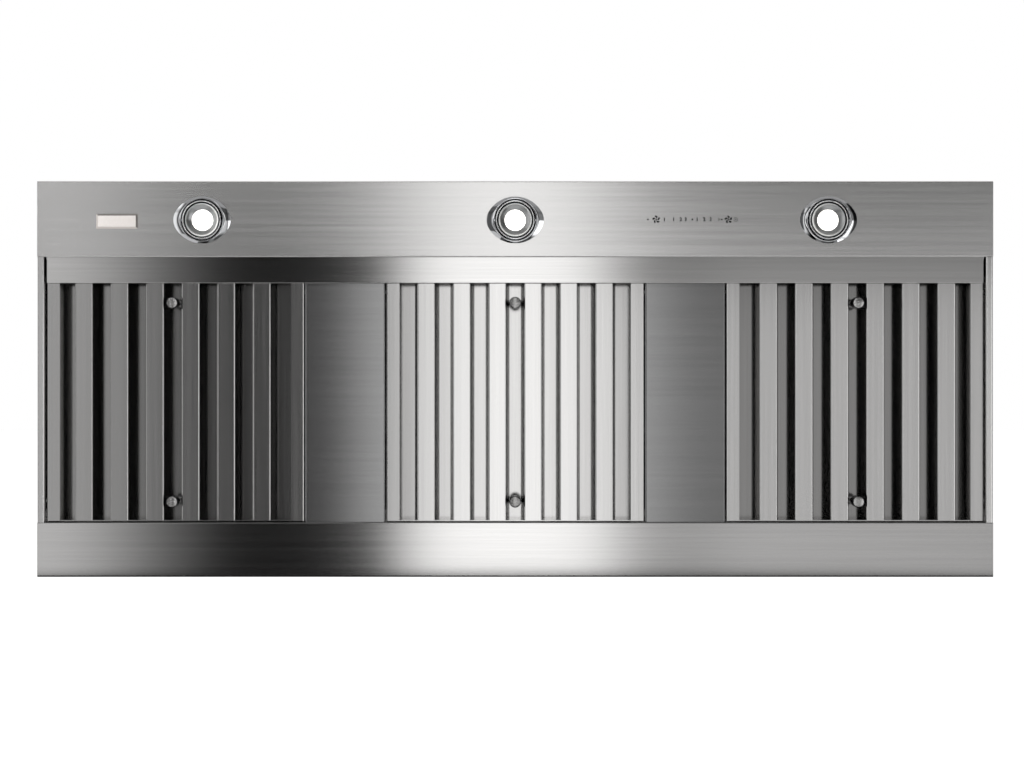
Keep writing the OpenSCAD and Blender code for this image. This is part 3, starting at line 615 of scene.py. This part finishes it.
class HOOD_OT_finish_fittings(bpy.types.Operator):
    """Gives the electrical fittings their plastics, paint and rubber"""

    bl_idname = "hood.finish_fittings"
    bl_label = "Finish Fittings"

    def execute(self, context):
        finishes = {
            # Solder mask on a circuit board: glossy deep green.
            "touch_board": speckled(
                "solder_mask_green", linear("#1E5B34"), 0.0, 0.4, 2 * MM, 0.08, 0.02 * MM
            ),
            # Powder coat on sheet steel: dark grey, with a fine matt texture.
            "control_module": speckled(
                "grey_powder_coat", linear("#4A4B4E"), 0.0, 0.5, 1 * MM, 0.06, 0.05 * MM
            ),
            # Moulded polycarbonate: warm white, with a low even shine.
            "light_driver": speckled(
                "white_moulded_polycarbonate",
                linear("#E2E1DC"), 0.0, 0.42, 1.2 * MM, 0.03, 0.02 * MM
            ),
            # Moulded polypropylene: soft waxy black.
            "motor_capacitors": speckled(
                "black_moulded_polypropylene",
                linear("#232325"), 0.0, 0.45, 1.2 * MM, 0.06, 0.02 * MM
            ),
            # Moulded rubber: matt black with no shine to speak of.
            "wire_grommet": speckled(
                "black_rubber", linear("#161616"), 0.0, 0.7, 1 * MM, 0.1, 0.03 * MM
            ),
        }
        for name, material in finishes.items():
            finish_node(name, material)
        # Unglazed steatite of a lamp socket: chalky cream ceramic.
        ceramic = speckled(
            "unglazed_steatite", linear("#E8E3D6"), 0.0, 0.6, 1 * MM, 0.04, 0.03 * MM
        )
        for side in SIDES:
            finish_node(f"lamp_socket_{side}", ceramic)
        return {"FINISHED"}


class HOOD_OT_make_bezels(bpy.types.Operator):
    """Makes the oval domed bezels of the lights"""

    bl_idname = "hood.make_bezels"
    bl_label = "Make Bezels"

    def execute(self, context):
        chrome = polished_chrome()
        for side in SIDES:
            self.make_bezel(side, context.scene.hood_lights, chrome)
        return {"FINISHED"}

    def make_bezel(self, side, sizes, chrome):
        """Makes one bezel with its sleeve round the tilting ring and its two pivot lugs."""
        node = f"light_flange_{side}"
        low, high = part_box(node)
        centre = Vector((middle(node).x, FACE_Y, middle(node).z))
        half_w, half_h = (high.x - low.x) / 2, (high.z - low.z) / 2
        ball_gap, sleeve = 0.7 * MM, 1.2 * MM
        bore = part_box(f"light_ring_{side}")[1].z - centre.z + ball_gap
        back = high.y - FACE_Y
        lip, edge, rise = sizes.bezel_lip, sizes.bezel_edge, sizes.bezel_rise
        fullness = 1.25
        turns = [2 * math.pi * k / FINE_COUNT for k in range(FINE_COUNT)]
        reaches = [oval_reach(turn, half_w, half_h) for turn in turns]

        def crest(inward):
            """Height of the bezel's face at a distance from its outer edge."""
            share = min(inward / sizes.bezel_slope, 1)
            return edge + (rise - edge) * (1 - (1 - share) ** fullness)

        sleeve_back = [(bore + sleeve, back)] * FINE_COUNT
        sleeve_front = [(bore + sleeve, 0.0)] * FINE_COUNT
        rows = [sleeve_back, [(bore, back)] * FINE_COUNT]
        for step in range(LIP_STEPS + 1):
            turn = math.pi * step / LIP_STEPS
            across, up = lip * (1 - math.cos(turn)), lip * (math.sin(turn) - 1)
            rows.append([(bore + across, -up - crest(r - bore)) for r in reaches])
        for step in range(1, DOME_STEPS + 1):
            share = step / DOME_STEPS
            row = []
            for r in reaches:
                reach = bore + 2 * lip + share * (r - bore - 2 * lip)
                row.append((reach, -crest(r - reach)))
            rows.append(row)
        rows += [[(r, 0.0) for r in reaches], sleeve_front]
        loops = [
            [
                centre + Vector((reach * math.cos(turn), y, reach * math.sin(turn)))
                for turn, (reach, y) in zip(turns, row)
            ]
            for row in rows
        ]
        mesh = bmesh.new()
        skin(mesh, loops, "joined")
        lug_in, lug_out = bore + sleeve / 2, bore + 8 * MM
        lug_front, lug_back, lug_half, lug_bevel = 0.3 * MM, 9 * MM, 5 * MM, 0.5 * MM
        for sign in (-1, 1):
            near, far = sorted((centre.x + sign * lug_in, centre.x + sign * lug_out))
            block(
                mesh,
                (near, FACE_Y + lug_front, centre.z - lug_half),
                (far, FACE_Y + lug_back, centre.z + lug_half),
                lug_bevel,
            )
        piece(f"light_bezel_{side}", mesh, "case", [chrome], [node], 50)


class HOOD_OT_make_rings(bpy.types.Operator):
    """Makes the round tilting rings with their two pivots"""

    bl_idname = "hood.make_rings"
    bl_label = "Make Rings"

    def execute(self, context):
        chrome = polished_chrome()
        # Painted shade: a dull near-black lining of the groove between the lamp and the bright
        # ring, where its shadow falls.
        groove_shade = speckled("painted_shade_groove", linear("#101011"), 0.0, 0.55, 2 * MM)
        for side in SIDES:
            self.make_ring(side, context.scene.hood_lights, [chrome, groove_shade])
        return {"FINISHED"}

    def make_ring(self, side, sizes, materials):
        """Makes one ring: a slice of a ball round the tilt line, bored for its lamp."""
        node = f"light_ring_{side}"
        low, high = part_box(node)
        centre = middle(node)
        place = (centre.x, FACE_Y, centre.z)
        ball = (high.z - low.z) / 2
        tilt_y, bore, pin = 4 * MM, 26 * MM, 2.5 * MM
        front, back = low.y - FACE_Y, high.y - FACE_Y
        groove = bore + sizes.ring_groove
        floor_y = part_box(f"lamp_{side}")[0].y - FACE_Y + sizes.groove_depth
        front_r = math.sqrt(ball**2 - (front - tilt_y) ** 2)
        crest, lip = (groove + front_r) / 2, (front_r - groove) / 2
        outside = [(groove, front + lip)]
        for k in range(1, LIP_STEPS + 1):
            turn = math.pi * k / LIP_STEPS
            outside.append((crest - lip * math.cos(turn), front + lip - lip * math.sin(turn)))
        for k in range(1, BALL_STEPS + 1):
            y = front + lip + (back - front - lip) * k / BALL_STEPS
            outside.append((math.sqrt(ball**2 - (y - tilt_y) ** 2), y))
        outside.append((bore, back))
        inside = [(bore, back), (bore, floor_y)]
        # The groove's walls and floor carry the painted shade.
        dark = [(bore, floor_y), (groove, floor_y), (groove, front + lip)]
        mesh = bmesh.new()
        for outline, slot in ((outside, 0), (inside, 0), (dark, 1)):
            turned(mesh, outline, place, FINE_COUNT, "open", slot)
        bmesh.ops.remove_doubles(mesh, verts=mesh.verts, dist=0.001 * MM)
        pin_end = (high.x - low.x) / 2
        for sign in (-1, 1):
            ends = sorted((centre.x + sign * (ball - pin), centre.x + sign * pin_end))
            bar(mesh, ends, FACE_Y + tilt_y, centre.z, pin)
        body = f"light_{side}"
        piece(f"light_gimbal_{side}", mesh, body, materials, [node], 40)


class HOOD_OT_make_lamps(bpy.types.Operator):
    """Makes the reflector lamps with their facets, lit lenses, necks and pins"""

    bl_idname = "hood.make_lamps"
    bl_label = "Make Lamps"

    def execute(self, context):
        # Pressed glass: smooth grey rim with a clear shine.
        glass = speckled("pressed_lamp_glass", linear("#85888A"), 0.0, 0.2, 5 * MM, 0.03)
        # Bright aluminium coat on pressed glass: soft silver facets.
        reflector = speckled("aluminised_reflector", linear("#A6A7A8"), 1.0, 0.3, 4 * MM, 0.04)
        materials = [glass, reflector, lit_lens()]
        for side in SIDES:
            self.make_lamp(side, context.scene.hood_lights, materials)
        return {"FINISHED"}

    def make_lamp(self, side, sizes, materials):
        """Makes one lamp: rim, bowl and neck, a faceted dish in front and two pins behind."""
        node = f"lamp_{side}"
        low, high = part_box(node)
        centre = (middle(node).x, FACE_Y, middle(node).z)
        rim = (high.x - low.x) / 2
        front, end = low.y - FACE_Y, high.y - FACE_Y
        neck_r, neck_y = 12 * MM, 34 * MM
        pin_r, pin_l, pin_place = 2.5 * MM, 7 * MM, 5 * MM
        tip_r, tip_l = 2 * MM, 0.8 * MM
        dish_depth, dish_curve = 6.5 * MM, 0.75
        body_end = end - pin_l
        outline = [(rim - inset * MM, front + depth * MM) for inset, depth in LAMP_RIM]
        bowl_r, bowl_y = outline[-1]
        for k in range(1, BOWL_STEPS + 1):
            turn = math.pi / 2 * k / BOWL_STEPS
            r = neck_r + (bowl_r - neck_r) * math.cos(turn)
            outline.append((r, bowl_y + (neck_y - bowl_y) * math.sin(turn)))
        outline.append((neck_r, body_end))
        dish_r, dish_y = outline[0]
        dish = []
        for k in range(sizes.facet_rows + 1):
            share = k / sizes.facet_rows
            r = dish_r - (dish_r - sizes.lens_radius) * share
            dish.append((r, dish_y + dish_depth * share**dish_curve))
        pin = [(pin_r, 0.0), (pin_r, pin_l - tip_l), (tip_r, pin_l)]
        mesh = bmesh.new()
        add_lamp_shell(mesh, outline, dish, centre, sizes.facet_columns)
        for sign in (-1, 1):
            start = (centre[0] + sign * pin_place, FACE_Y + body_end, centre[2])
            turned(mesh, pin, start, PIN_COUNT)
        body = f"light_{side}"
        piece(f"reflector_lamp_{side}", mesh, body, materials, [node], 12)


def add_lamp_shell(mesh, outline, dish, centre, columns):
    """Adds the lamp's glass, its dish of staggered facets and its domed lens as one shell."""
    bulge = 2.5 * MM

    def ring(r, y, turn=0.0):
        """One loop of vertices."""
        return [mesh.verts.new(p) for p in circle(centre, r, y, columns, turn)]

    def add_facets(first, second, leading):
        """Triangles between two loops, one of them turned by half a facet."""
        for k in range(columns):
            n = (k + 1) % columns
            if leading:
                faces = [(first[k], first[n], second[k]), (first[n], second[n], second[k])]
            else:
                faces = [(first[k], first[n], second[n]), (first[k], second[n], second[k])]
            for face in faces:
                mesh.faces.new(face).material_index = REFLECTOR

    shell = [ring(r, y) for r, y in outline]
    for first, second in zip(shell, shell[1:]):
        join(mesh, first, second, GLASS)
    mesh.faces.new(shell[-1]).material_index = GLASS
    rows = [shell[0]]
    rows += [ring(r, y, 0.5 * (k % 2)) for k, (r, y) in enumerate(dish[1:], start=1)]
    for k, (first, second) in enumerate(zip(rows, rows[1:])):
        add_facets(first, second, k % 2 == 0)
    lens_r, lens_y = dish[-1]
    last = rows[-1]
    last_turn = 0.5 * ((len(dish) - 1) % 2)
    for share in LENS_SHARES:
        loop = ring(lens_r * share, lens_y - bulge * (1 - share**2), last_turn)
        join(mesh, last, loop, LENS)
        last = loop
    mesh.faces.new(last).material_index = LENS


class HOOD_OT_make_knobs(bpy.types.Operator):
    """Makes the turned filter knobs on their stems"""

    bl_idname = "hood.make_knobs"
    bl_label = "Make Knobs"

    def execute(self, context):
        sizes = context.scene.hood_knobs
        # Turned stainless steel: a shiny side whose dark grey is painted reflection of the dark
        # gaps, round a brighter, softer face.
        shaded_side_steel = speckled("turned_stainless_shaded_side", linear("#3C3C3E"), 1.0, 0.25, 3 * MM)
        face_steel = speckled("turned_stainless_face", linear("#A3A2A1"), 0.9, 0.26, 2 * MM)
        materials = [shaded_side_steel, face_steel]
        head_l, stem_r, back_round = 22 * MM, 6 * MM, 0.5 * MM
        chamfer, groove = sizes.chamfer, sizes.groove
        groove_back, groove_w, groove_slope = head_l - 3 * MM, 1 * MM, 0.5 * MM
        for side in SIDES:
            node = f"filter_knobs_{side}"
            low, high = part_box(node)
            radius = (high.x - low.x) / 2
            outline = [
                (stem_r, high.y - low.y),
                (stem_r, head_l),
                (radius - back_round, head_l),
                (radius, head_l - back_round),
                (radius, groove_back),
                (radius - groove, groove_back - groove_slope),
                (radius - groove, groove_back - groove_slope - groove_w),
                (radius, groove_back - 2 * groove_slope - groove_w),
                (radius, chamfer),
                (radius - chamfer, sizes.dome),
            ]
            mesh = bmesh.new()
            for z in (low.z + radius, high.z - radius):
                add_knob(mesh, outline, sizes.dome, (middle(node).x, low.y, z))
            body = f"filter_{side}"
            piece(f"turned_knobs_{side}", mesh, body, materials, [node], 25)
        return {"FINISHED"}


def add_knob(mesh, outline, dome, centre):
    """Adds a turned knob: its side from the outline, and a domed face of another material."""
    edge = outline[-1][0]
    face = [(edge * share, dome * share**2) for share in KNOB_SHARES]
    loops = [circle(centre, r, y, KNOB_COUNT) for r, y in outline + face]
    rows = [[mesh.verts.new(p) for p in loop] for loop in loops]
    for k, (first, second) in enumerate(zip(rows, rows[1:]), start=1):
        join(mesh, first, second, int(k >= len(outline)))
    mesh.faces.new(rows[0]).material_index = 0
    mesh.faces.new(rows[-1]).material_index = 1


class HOOD_OT_make_plate(bpy.types.Operator):
    """Makes the bare bevelled plate at the left of the front strip"""

    bl_idname = "hood.make_plate"
    bl_label = "Make Plate"

    def execute(self, context):
        low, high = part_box("badge_plate")
        bevel, lip, seam, hair = 3 * MM, 0.5 * MM, 0.3 * MM, 0.1 * MM
        depth = high.y - low.y
        mesh = bmesh.new()
        loops = []
        for inset, proud in ((0.0, 0.0), (0.0, lip), (bevel, depth), (bevel + seam, depth)):
            left, right = low.x + inset, high.x - inset
            bottom, top, y = low.z + inset, high.z - inset, high.y - proud
            loops.append([(left, y, bottom), (right, y, bottom), (right, y, top), (left, y, top)])
        skin(mesh, loops)
        for face in mesh.faces:
            face.material_index = int(any(v.co.y > low.y + hair for v in face.verts))
        # Satin nickel under clear lacquer: a pale warm face that scatters some light.
        plate = speckled("satin_nickel_plate", linear("#E6E0DC"), 0.66, 0.18, 3 * MM, 0.03)
        # Polished nickel: a mirror-like edge that goes dark or bright with what it faces.
        rim = speckled("polished_nickel_bevel", linear("#C9C3BF"), 1.0, 0.1, 3 * MM, 0.03)
        piece("bare_plate", mesh, "case", [plate, rim], ["badge_plate"], 10)
        return {"FINISHED"}


def rectangle(half_w, half_h):
    """Outline of a rectangle."""
    return [(-half_w, -half_h), (half_w, -half_h), (half_w, half_h), (-half_w, half_h)]


def disc(radius, count=24):
    """Outline of a disc."""
    angles = [2 * math.pi * k / count for k in range(count)]
    return [(radius * math.cos(a), radius * math.sin(a)) for a in angles]


def crescent(radius, hollow, steps=12):
    """Outline of a crescent open to the left, whose hollow has a share of its radius."""
    outer = [math.pi * (k / steps - 0.5) for k in range(steps + 1)]
    inner = [math.pi * (0.5 - k / steps) for k in range(1, steps)]
    points = [(radius * math.cos(a), radius * math.sin(a)) for a in outer]
    points += [(radius * hollow * math.cos(a), radius * math.sin(a)) for a in inner]
    return points


def fan_blade(radius, turn, steps=10):
    """Outline of one bent petal of a fan symbol."""
    hub, width, bend = 0.22, 0.42, 0.5
    points = []
    for side, places in ((-1, range(steps + 1)), (1, range(steps - 1, 0, -1))):
        for k in places:
            share = k / steps
            r = radius * (hub + (1 - hub) * share)
            angle = turn + side * width * math.sin(math.pi * share) ** 0.5 + bend * share
            points.append((r * math.cos(angle), r * math.sin(angle)))
    return points


class HOOD_OT_make_marks(bpy.types.Operator):
    """Makes the row of small printed marks over the touch sensor"""

    bl_idname = "hood.make_marks"
    bl_label = "Make Marks"

    def execute(self, context):
        sizes = context.scene.hood_marks
        # Screen-printed ink: flat matt black.
        ink = speckled("matt_black_ink", linear("#0C0C0D"), 0.0, 0.7, 1 * MM)
        first, height = 204 * MM, STRIP_LOW + sizes.rise
        dot_r, fan_hub_r, ring_dot_r = 1.3 * MM, 1.1 * MM, 0.9 * MM
        ring_inner, ring_outer = 2.6 * MM, 3.2 * MM
        bar_half_w, bar_half_h = 0.7 * MM, 2.8 * MM
        crescent_r, hollow = 2.8 * MM, 0.6
        mesh = bmesh.new()

        def add_shape(outline, place):
            """Adds a flat shape to the row, with its place in mm from the first dot."""
            x0 = first + place * MM
            loops = [
                [(x0 + x, FACE_Y - depth, height + z) for x, z in outline]
                for depth in (0.0, sizes.ink)
            ]
            skin(mesh, loops)

        for place in DOT_PLACES:
            add_shape(disc(dot_r), place)
        for place in FAN_PLACES:
            add_shape(disc(fan_hub_r), place)
            for k in range(FAN_BLADES):
                add_shape(fan_blade(sizes.fan_radius, 2 * math.pi * k / FAN_BLADES), place)
        add_shape(rectangle(bar_half_w, bar_half_h), BAR_PLACE)
        add_shape(crescent(crescent_r, hollow), CRESCENT_PLACE)
        add_shape(disc(ring_dot_r), RING_PLACE)
        ring = [(ring_inner, 0.0), (ring_outer, 0.0)]
        ring += [(ring_outer, -sizes.ink), (ring_inner, -sizes.ink)]
        turned(mesh, ring, (first + RING_PLACE * MM, FACE_Y, height), BAR_COUNT, "joined")
        piece("printed_marks", mesh, "case", [ink])
        for k, (text, place) in enumerate(FIGURE_PLACES):
            self.make_figure(f"printed_figure_{k + 1}", text, first + place * MM, height, ink)
        return {"FINISHED"}

    def make_figure(self, name, text, x, z, ink):
        """Makes one plain figure."""
        sizes = bpy.context.scene.hood_marks
        figure_share, swell = 0.7, 0.05
        curve = bpy.data.curves.new(name, "FONT")
        curve.body = text
        curve.size = sizes.figure_height / figure_share
        curve.align_x = "CENTER"
        curve.align_y = "CENTER"
        curve.extrude = sizes.ink / 2
        curve.offset = swell * sizes.figure_height
        made = bpy.data.objects.new(name, curve)
        made.location = (x, FACE_Y - sizes.ink / 2, z)
        made.rotation_euler = (math.pi / 2, 0, 0)
        bpy.context.scene.collection.objects.link(made)
        curve.materials.append(ink)
        bpy.context.view_layer.update()
        shaped = made.evaluated_get(bpy.context.evaluated_depsgraph_get())
        mesh = bpy.data.meshes.new_from_object(shaped)
        mesh.transform(made.matrix_world)
        bpy.data.objects.remove(made)
        printed = bpy.data.objects.new(name, mesh)
        bpy.context.scene.collection.objects.link(printed)
        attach(printed, "case")


def set_stops(ramp, stops):
    """Gives a colour ramp its stops, each a place and a grey level."""
    elements = ramp.color_ramp.elements
    while len(elements) < len(stops):
        elements.new(0.5)
    for element, (place, level) in zip(elements, stops):
        element.position = place
        element.color = (level, level, level, 1)


def wall_share(x, distance, radius):
    """Share of the turn at which the strips show the round wall, at a place along the hood."""
    slope = x / distance
    reach = radius
    for _ in range(8):
        across = x + slope * reach
        reach = math.sqrt(max(radius**2 - across**2, 0))
    return 0.5 + math.atan2(x + slope * reach, reach) / (2 * math.pi)


def seen_share(tree):
    """1 where the camera, a reflection or glass sees the surface, and 0 where it only lights."""
    path = add_node(tree, "ShaderNodeLightPath")
    seen = path.outputs["Is Camera Ray"]
    for ray in ("Is Glossy Ray", "Is Transmission Ray"):
        both = {0: seen, 1: path.outputs[ray]}
        seen = add_node(tree, "ShaderNodeMath", both, operation="MAXIMUM")
    return seen


def glowing_material(name):
    """A material that only glows; its tree and the node of its glow come back with it."""
    material = bpy.data.materials.new(name)
    material.use_nodes = True
    tree = material.node_tree
    glow = add_node(tree, "ShaderNodeEmission", {"Color": (1, 1, 1, 1)})
    set_inputs(tree.nodes["Material Output"], {"Surface": glow})
    return material, tree, glow


def panel_material(stage):
    """The studio wall's soft panels, dimmer far down and at the upper right.

    The upper right is dimmer because only the strips show it, and they are darker there.
    """
    front = [(wall_share(x, stage.camera_distance, stage.wall_radius), v) for x, v in FRONT_LEVELS]
    levels = [*LEFT_LEVELS, *front, *RIGHT_LEVELS]
    material, tree, glow = glowing_material("studio_panels")
    place = add_node(tree, "ShaderNodeTexCoord").outputs["Object"]
    quarter = Euler((0, 0, math.pi / 2))
    facing = add_node(tree, "ShaderNodeMapping", {"Vector": place, "Rotation": quarter})
    around = add_node(tree, "ShaderNodeTexGradient", {"Vector": facing}, gradient_type="RADIAL")
    ramp = add_node(tree, "ShaderNodeValToRGB", {"Fac": around.outputs["Fac"]})
    set_stops(ramp, [(share, level / WALL_GLOW) for share, level in levels])
    parts = add_node(tree, "ShaderNodeSeparateXYZ", {"Vector": place})
    x, z = parts.outputs["X"], parts.outputs["Z"]
    hood_middle = 0.3
    rise = add_node(tree, "ShaderNodeMath", {0: z, 1: hood_middle}, operation="SUBTRACT")
    reach = add_node(tree, "ShaderNodeMath", {0: rise}, operation="ABSOLUTE")
    # Each fade runs between two places in metres, and from one strength or share to another.
    near, top, aside, above = (
        add_node(
            tree,
            "ShaderNodeMapRange",
            {"Value": value, "From Min": start, "From Max": end, "To Min": low, "To Max": high},
        )
        for value, start, end, low, high in (
            (reach, 1.5, 2.1, WALL_GLOW, 0.12 * WALL_GLOW),
            (z, 2.1, 2.5, 0.0, WALL_GLOW),
            (x, 0.18, 0.44, 0.0, 1.0),
            (z, 0.60, 0.80, 0.0, 0.88),
        )
    )
    height = add_node(tree, "ShaderNodeMath", {0: near, 1: top}, operation="ADD")
    dimmed = add_node(tree, "ShaderNodeMath", {0: aside, 1: above}, operation="MULTIPLY")
    kept = add_node(tree, "ShaderNodeMath", {0: 1.0, 1: dimmed}, operation="SUBTRACT")
    strength = add_node(tree, "ShaderNodeMath", {0: height, 1: kept}, operation="MULTIPLY")
    set_inputs(glow, {"Color": ramp, "Strength": strength})
    return material


def only_reflected(made):
    """Hides a piece of the studio from everything but reflections."""
    for ray in ("camera", "diffuse", "transmission", "shadow", "volume_scatter"):
        setattr(made, f"visible_{ray}", False)


class HOOD_OT_make_stage(bpy.types.Operator):
    """Makes the pale floor, the round studio wall, the lamps and the camera"""

    bl_idname = "hood.make_stage"
    bl_label = "Make Stage"

    def execute(self, context):
        stage = context.scene.hood_stage
        context.scene.view_settings.view_transform = "Standard"
        self.make_camera(stage)
        self.make_floor()
        self.make_wall(stage)
        self.make_cards(stage)
        self.make_world(context.scene)
        self.make_lamps()
        return {"FINISHED"}

    def make_camera(self, stage):
        """A level camera in front of the filters."""
        data = bpy.data.cameras.new("camera")
        data.lens = stage.focal
        data.sensor_width = 36
        data.clip_end = 50
        camera = bpy.data.objects.new("camera", data)
        camera.location = (stage.camera_x, FACE_Y - stage.camera_distance, stage.camera_height)
        camera.rotation_euler = (math.pi / 2, 0, 0)
        bpy.context.scene.collection.objects.link(camera)
        bpy.context.scene.camera = camera

    def make_floor(self):
        """A wide pale floor that keeps the hood's shadow."""
        half_side = 9
        brightness, even_share = 1.25, 0.75
        mesh = bmesh.new()
        bmesh.ops.create_grid(mesh, x_segments=1, y_segments=1, size=half_side)
        floor = new_object("floor", mesh)
        floor.visible_glossy = False
        # Matt white paper. What is seen of it is mostly even white, as the background is, with
        # a quarter of its real shading, in which the shadow shows.
        material, tree, shader = new_material("white_floor", linear("#F5F5F5"), 0.0, 0.9)
        glow = add_node(tree, "ShaderNodeEmission", {"Color": (1, 1, 1, 1), "Strength": brightness})
        shares = {0: seen_share(tree), 1: even_share}
        even = add_node(tree, "ShaderNodeMath", shares, operation="MULTIPLY")
        both = add_node(tree, "ShaderNodeMixShader", {0: even, 1: shader, 2: glow})
        set_inputs(tree.nodes["Material Output"], {"Surface": both})
        floor.data.materials.append(material)

    def make_wall(self, stage):
        """The round wall of soft panels that only reflections see."""
        turns = 96
        angles = [2 * math.pi * k / turns for k in range(turns)]
        radius = stage.wall_radius
        mesh = bmesh.new()
        loops = [
            [(radius * math.cos(a), radius * math.sin(a), z) for a in angles]
            for z in (-WALL_HALF_HEIGHT, WALL_HALF_HEIGHT)
        ]
        skin(mesh, loops, "open")
        wall = new_object("studio_wall", mesh)
        only_reflected(wall)
        wall.data.materials.append(panel_material(stage))

    def make_cards(self, stage):
        """Glowing cards above, below and beside, for what doesn't face the wall."""
        wide, top = stage.wall_radius, WALL_HALF_HEIGHT
        for name, place, radius, level in (
            ("studio_ceiling", (0, 0, top), wide, 0.35),
            ("studio_skylight", (0, 1.5, top - 0.1), 1.9, 1.2),
            ("studio_pit", (0, 0, -top), wide, 0.9),
            ("low_panel", (2.2, -2.3, -1.7), 0.4, 2.0),
            ("left_low_panel", (-2.1, -2.0, -1.0), 1.1, 0.6),
        ):
            self.make_card(name, place, radius, level)
        # A dark card just under the hood, which gives its lower edge a line of contact.
        drop, narrowing = 6 * MM, 0.12
        foot = self.make_card("studio_foot", (0, FACE_Y, -drop), 1.0, 0.02)
        foot.scale = (1, narrowing, 1)

    def make_card(self, name, place, radius, level):
        """A round glowing card that only reflections see."""
        mesh = bmesh.new()
        bmesh.ops.create_circle(mesh, cap_ends=True, segments=64, radius=radius)
        card = new_object(name, mesh)
        card.location = place
        only_reflected(card)
        material, _, glow = glowing_material(name)
        set_inputs(glow, {"Strength": level})
        card.data.materials.append(material)
        return card

    def make_world(self, scene):
        """A white background, with a softer light for everything that it only lights."""
        world = bpy.data.worlds.new("studio")
        world.use_nodes = True
        scene.world = world
        tree = world.node_tree
        white = (1, 1, 1, 1)
        soft = add_node(tree, "ShaderNodeBackground", {"Color": white, "Strength": 0.35})
        full = add_node(tree, "ShaderNodeBackground", {"Color": white, "Strength": 1.0})
        both = add_node(tree, "ShaderNodeMixShader", {0: seen_share(tree), 1: soft, 2: full})
        set_inputs(tree.nodes["World Output"], {"Surface": both})

    def make_lamps(self):
        """Two wide soft lamps above and in front of the hood."""
        target = Vector((0, 0, 0.3))
        for name, place, size, power in (
            ("key", (-1.25, -1.1, 1.0), 0.8, 30),
            ("fill", (1.2, -2.4, 2.6), 2.0, 40),
        ):
            data = bpy.data.lights.new(name, "AREA")
            data.shape = "DISK"
            data.size = size
            data.energy = power
            lamp = bpy.data.objects.new(name, data)
            lamp.location = place
            towards = target - Vector(place)
            lamp.rotation_euler = towards.to_track_quat("-Z", "Y").to_euler()
            lamp.visible_glossy = False
            bpy.context.scene.collection.objects.link(lamp)


OPERATORS = (
    HOOD_OT_make_stage,
    HOOD_OT_finish_case,
    HOOD_OT_finish_filters,
    HOOD_OT_finish_blowers,
    HOOD_OT_finish_fittings,
    HOOD_OT_make_bezels,
    HOOD_OT_make_rings,
    HOOD_OT_make_lamps,
    HOOD_OT_make_knobs,
    HOOD_OT_make_plate,
    HOOD_OT_make_marks,
)


class VIEW3D_PT_hood(bpy.types.Panel):
    """Lists the hood's steps."""

    bl_label = "Range Hood"
    bl_space_type = "VIEW_3D"
    bl_region_type = "UI"
    bl_category = "Range Hood"

    def draw(self, context):
        for operator in OPERATORS:
            self.layout.operator(operator.bl_idname)


GROUPS = {
    "hood_lights": HoodLightSizes,
    "hood_knobs": HoodKnobSizes,
    "hood_marks": HoodMarkSizes,
    "hood_finish": HoodFinish,
    "hood_stage": HoodStage,
}


def register():
    for group in GROUPS.values():
        bpy.utils.register_class(group)
    for name, group in GROUPS.items():
        setattr(bpy.types.Scene, name, bpy.props.PointerProperty(type=group))
    for operator in OPERATORS:
        bpy.utils.register_class(operator)
    bpy.utils.register_class(VIEW3D_PT_hood)


def unregister():
    bpy.utils.unregister_class(VIEW3D_PT_hood)
    for operator in reversed(OPERATORS):
        bpy.utils.unregister_class(operator)
    for name, group in reversed(GROUPS.items()):
        delattr(bpy.types.Scene, name)
        bpy.utils.unregister_class(group)


def main():
    register()
    for operator in OPERATORS:
        folder, name = operator.bl_idname.split(".")
        getattr(getattr(bpy.ops, folder), name)()


if __name__ == "__main__":
    main()
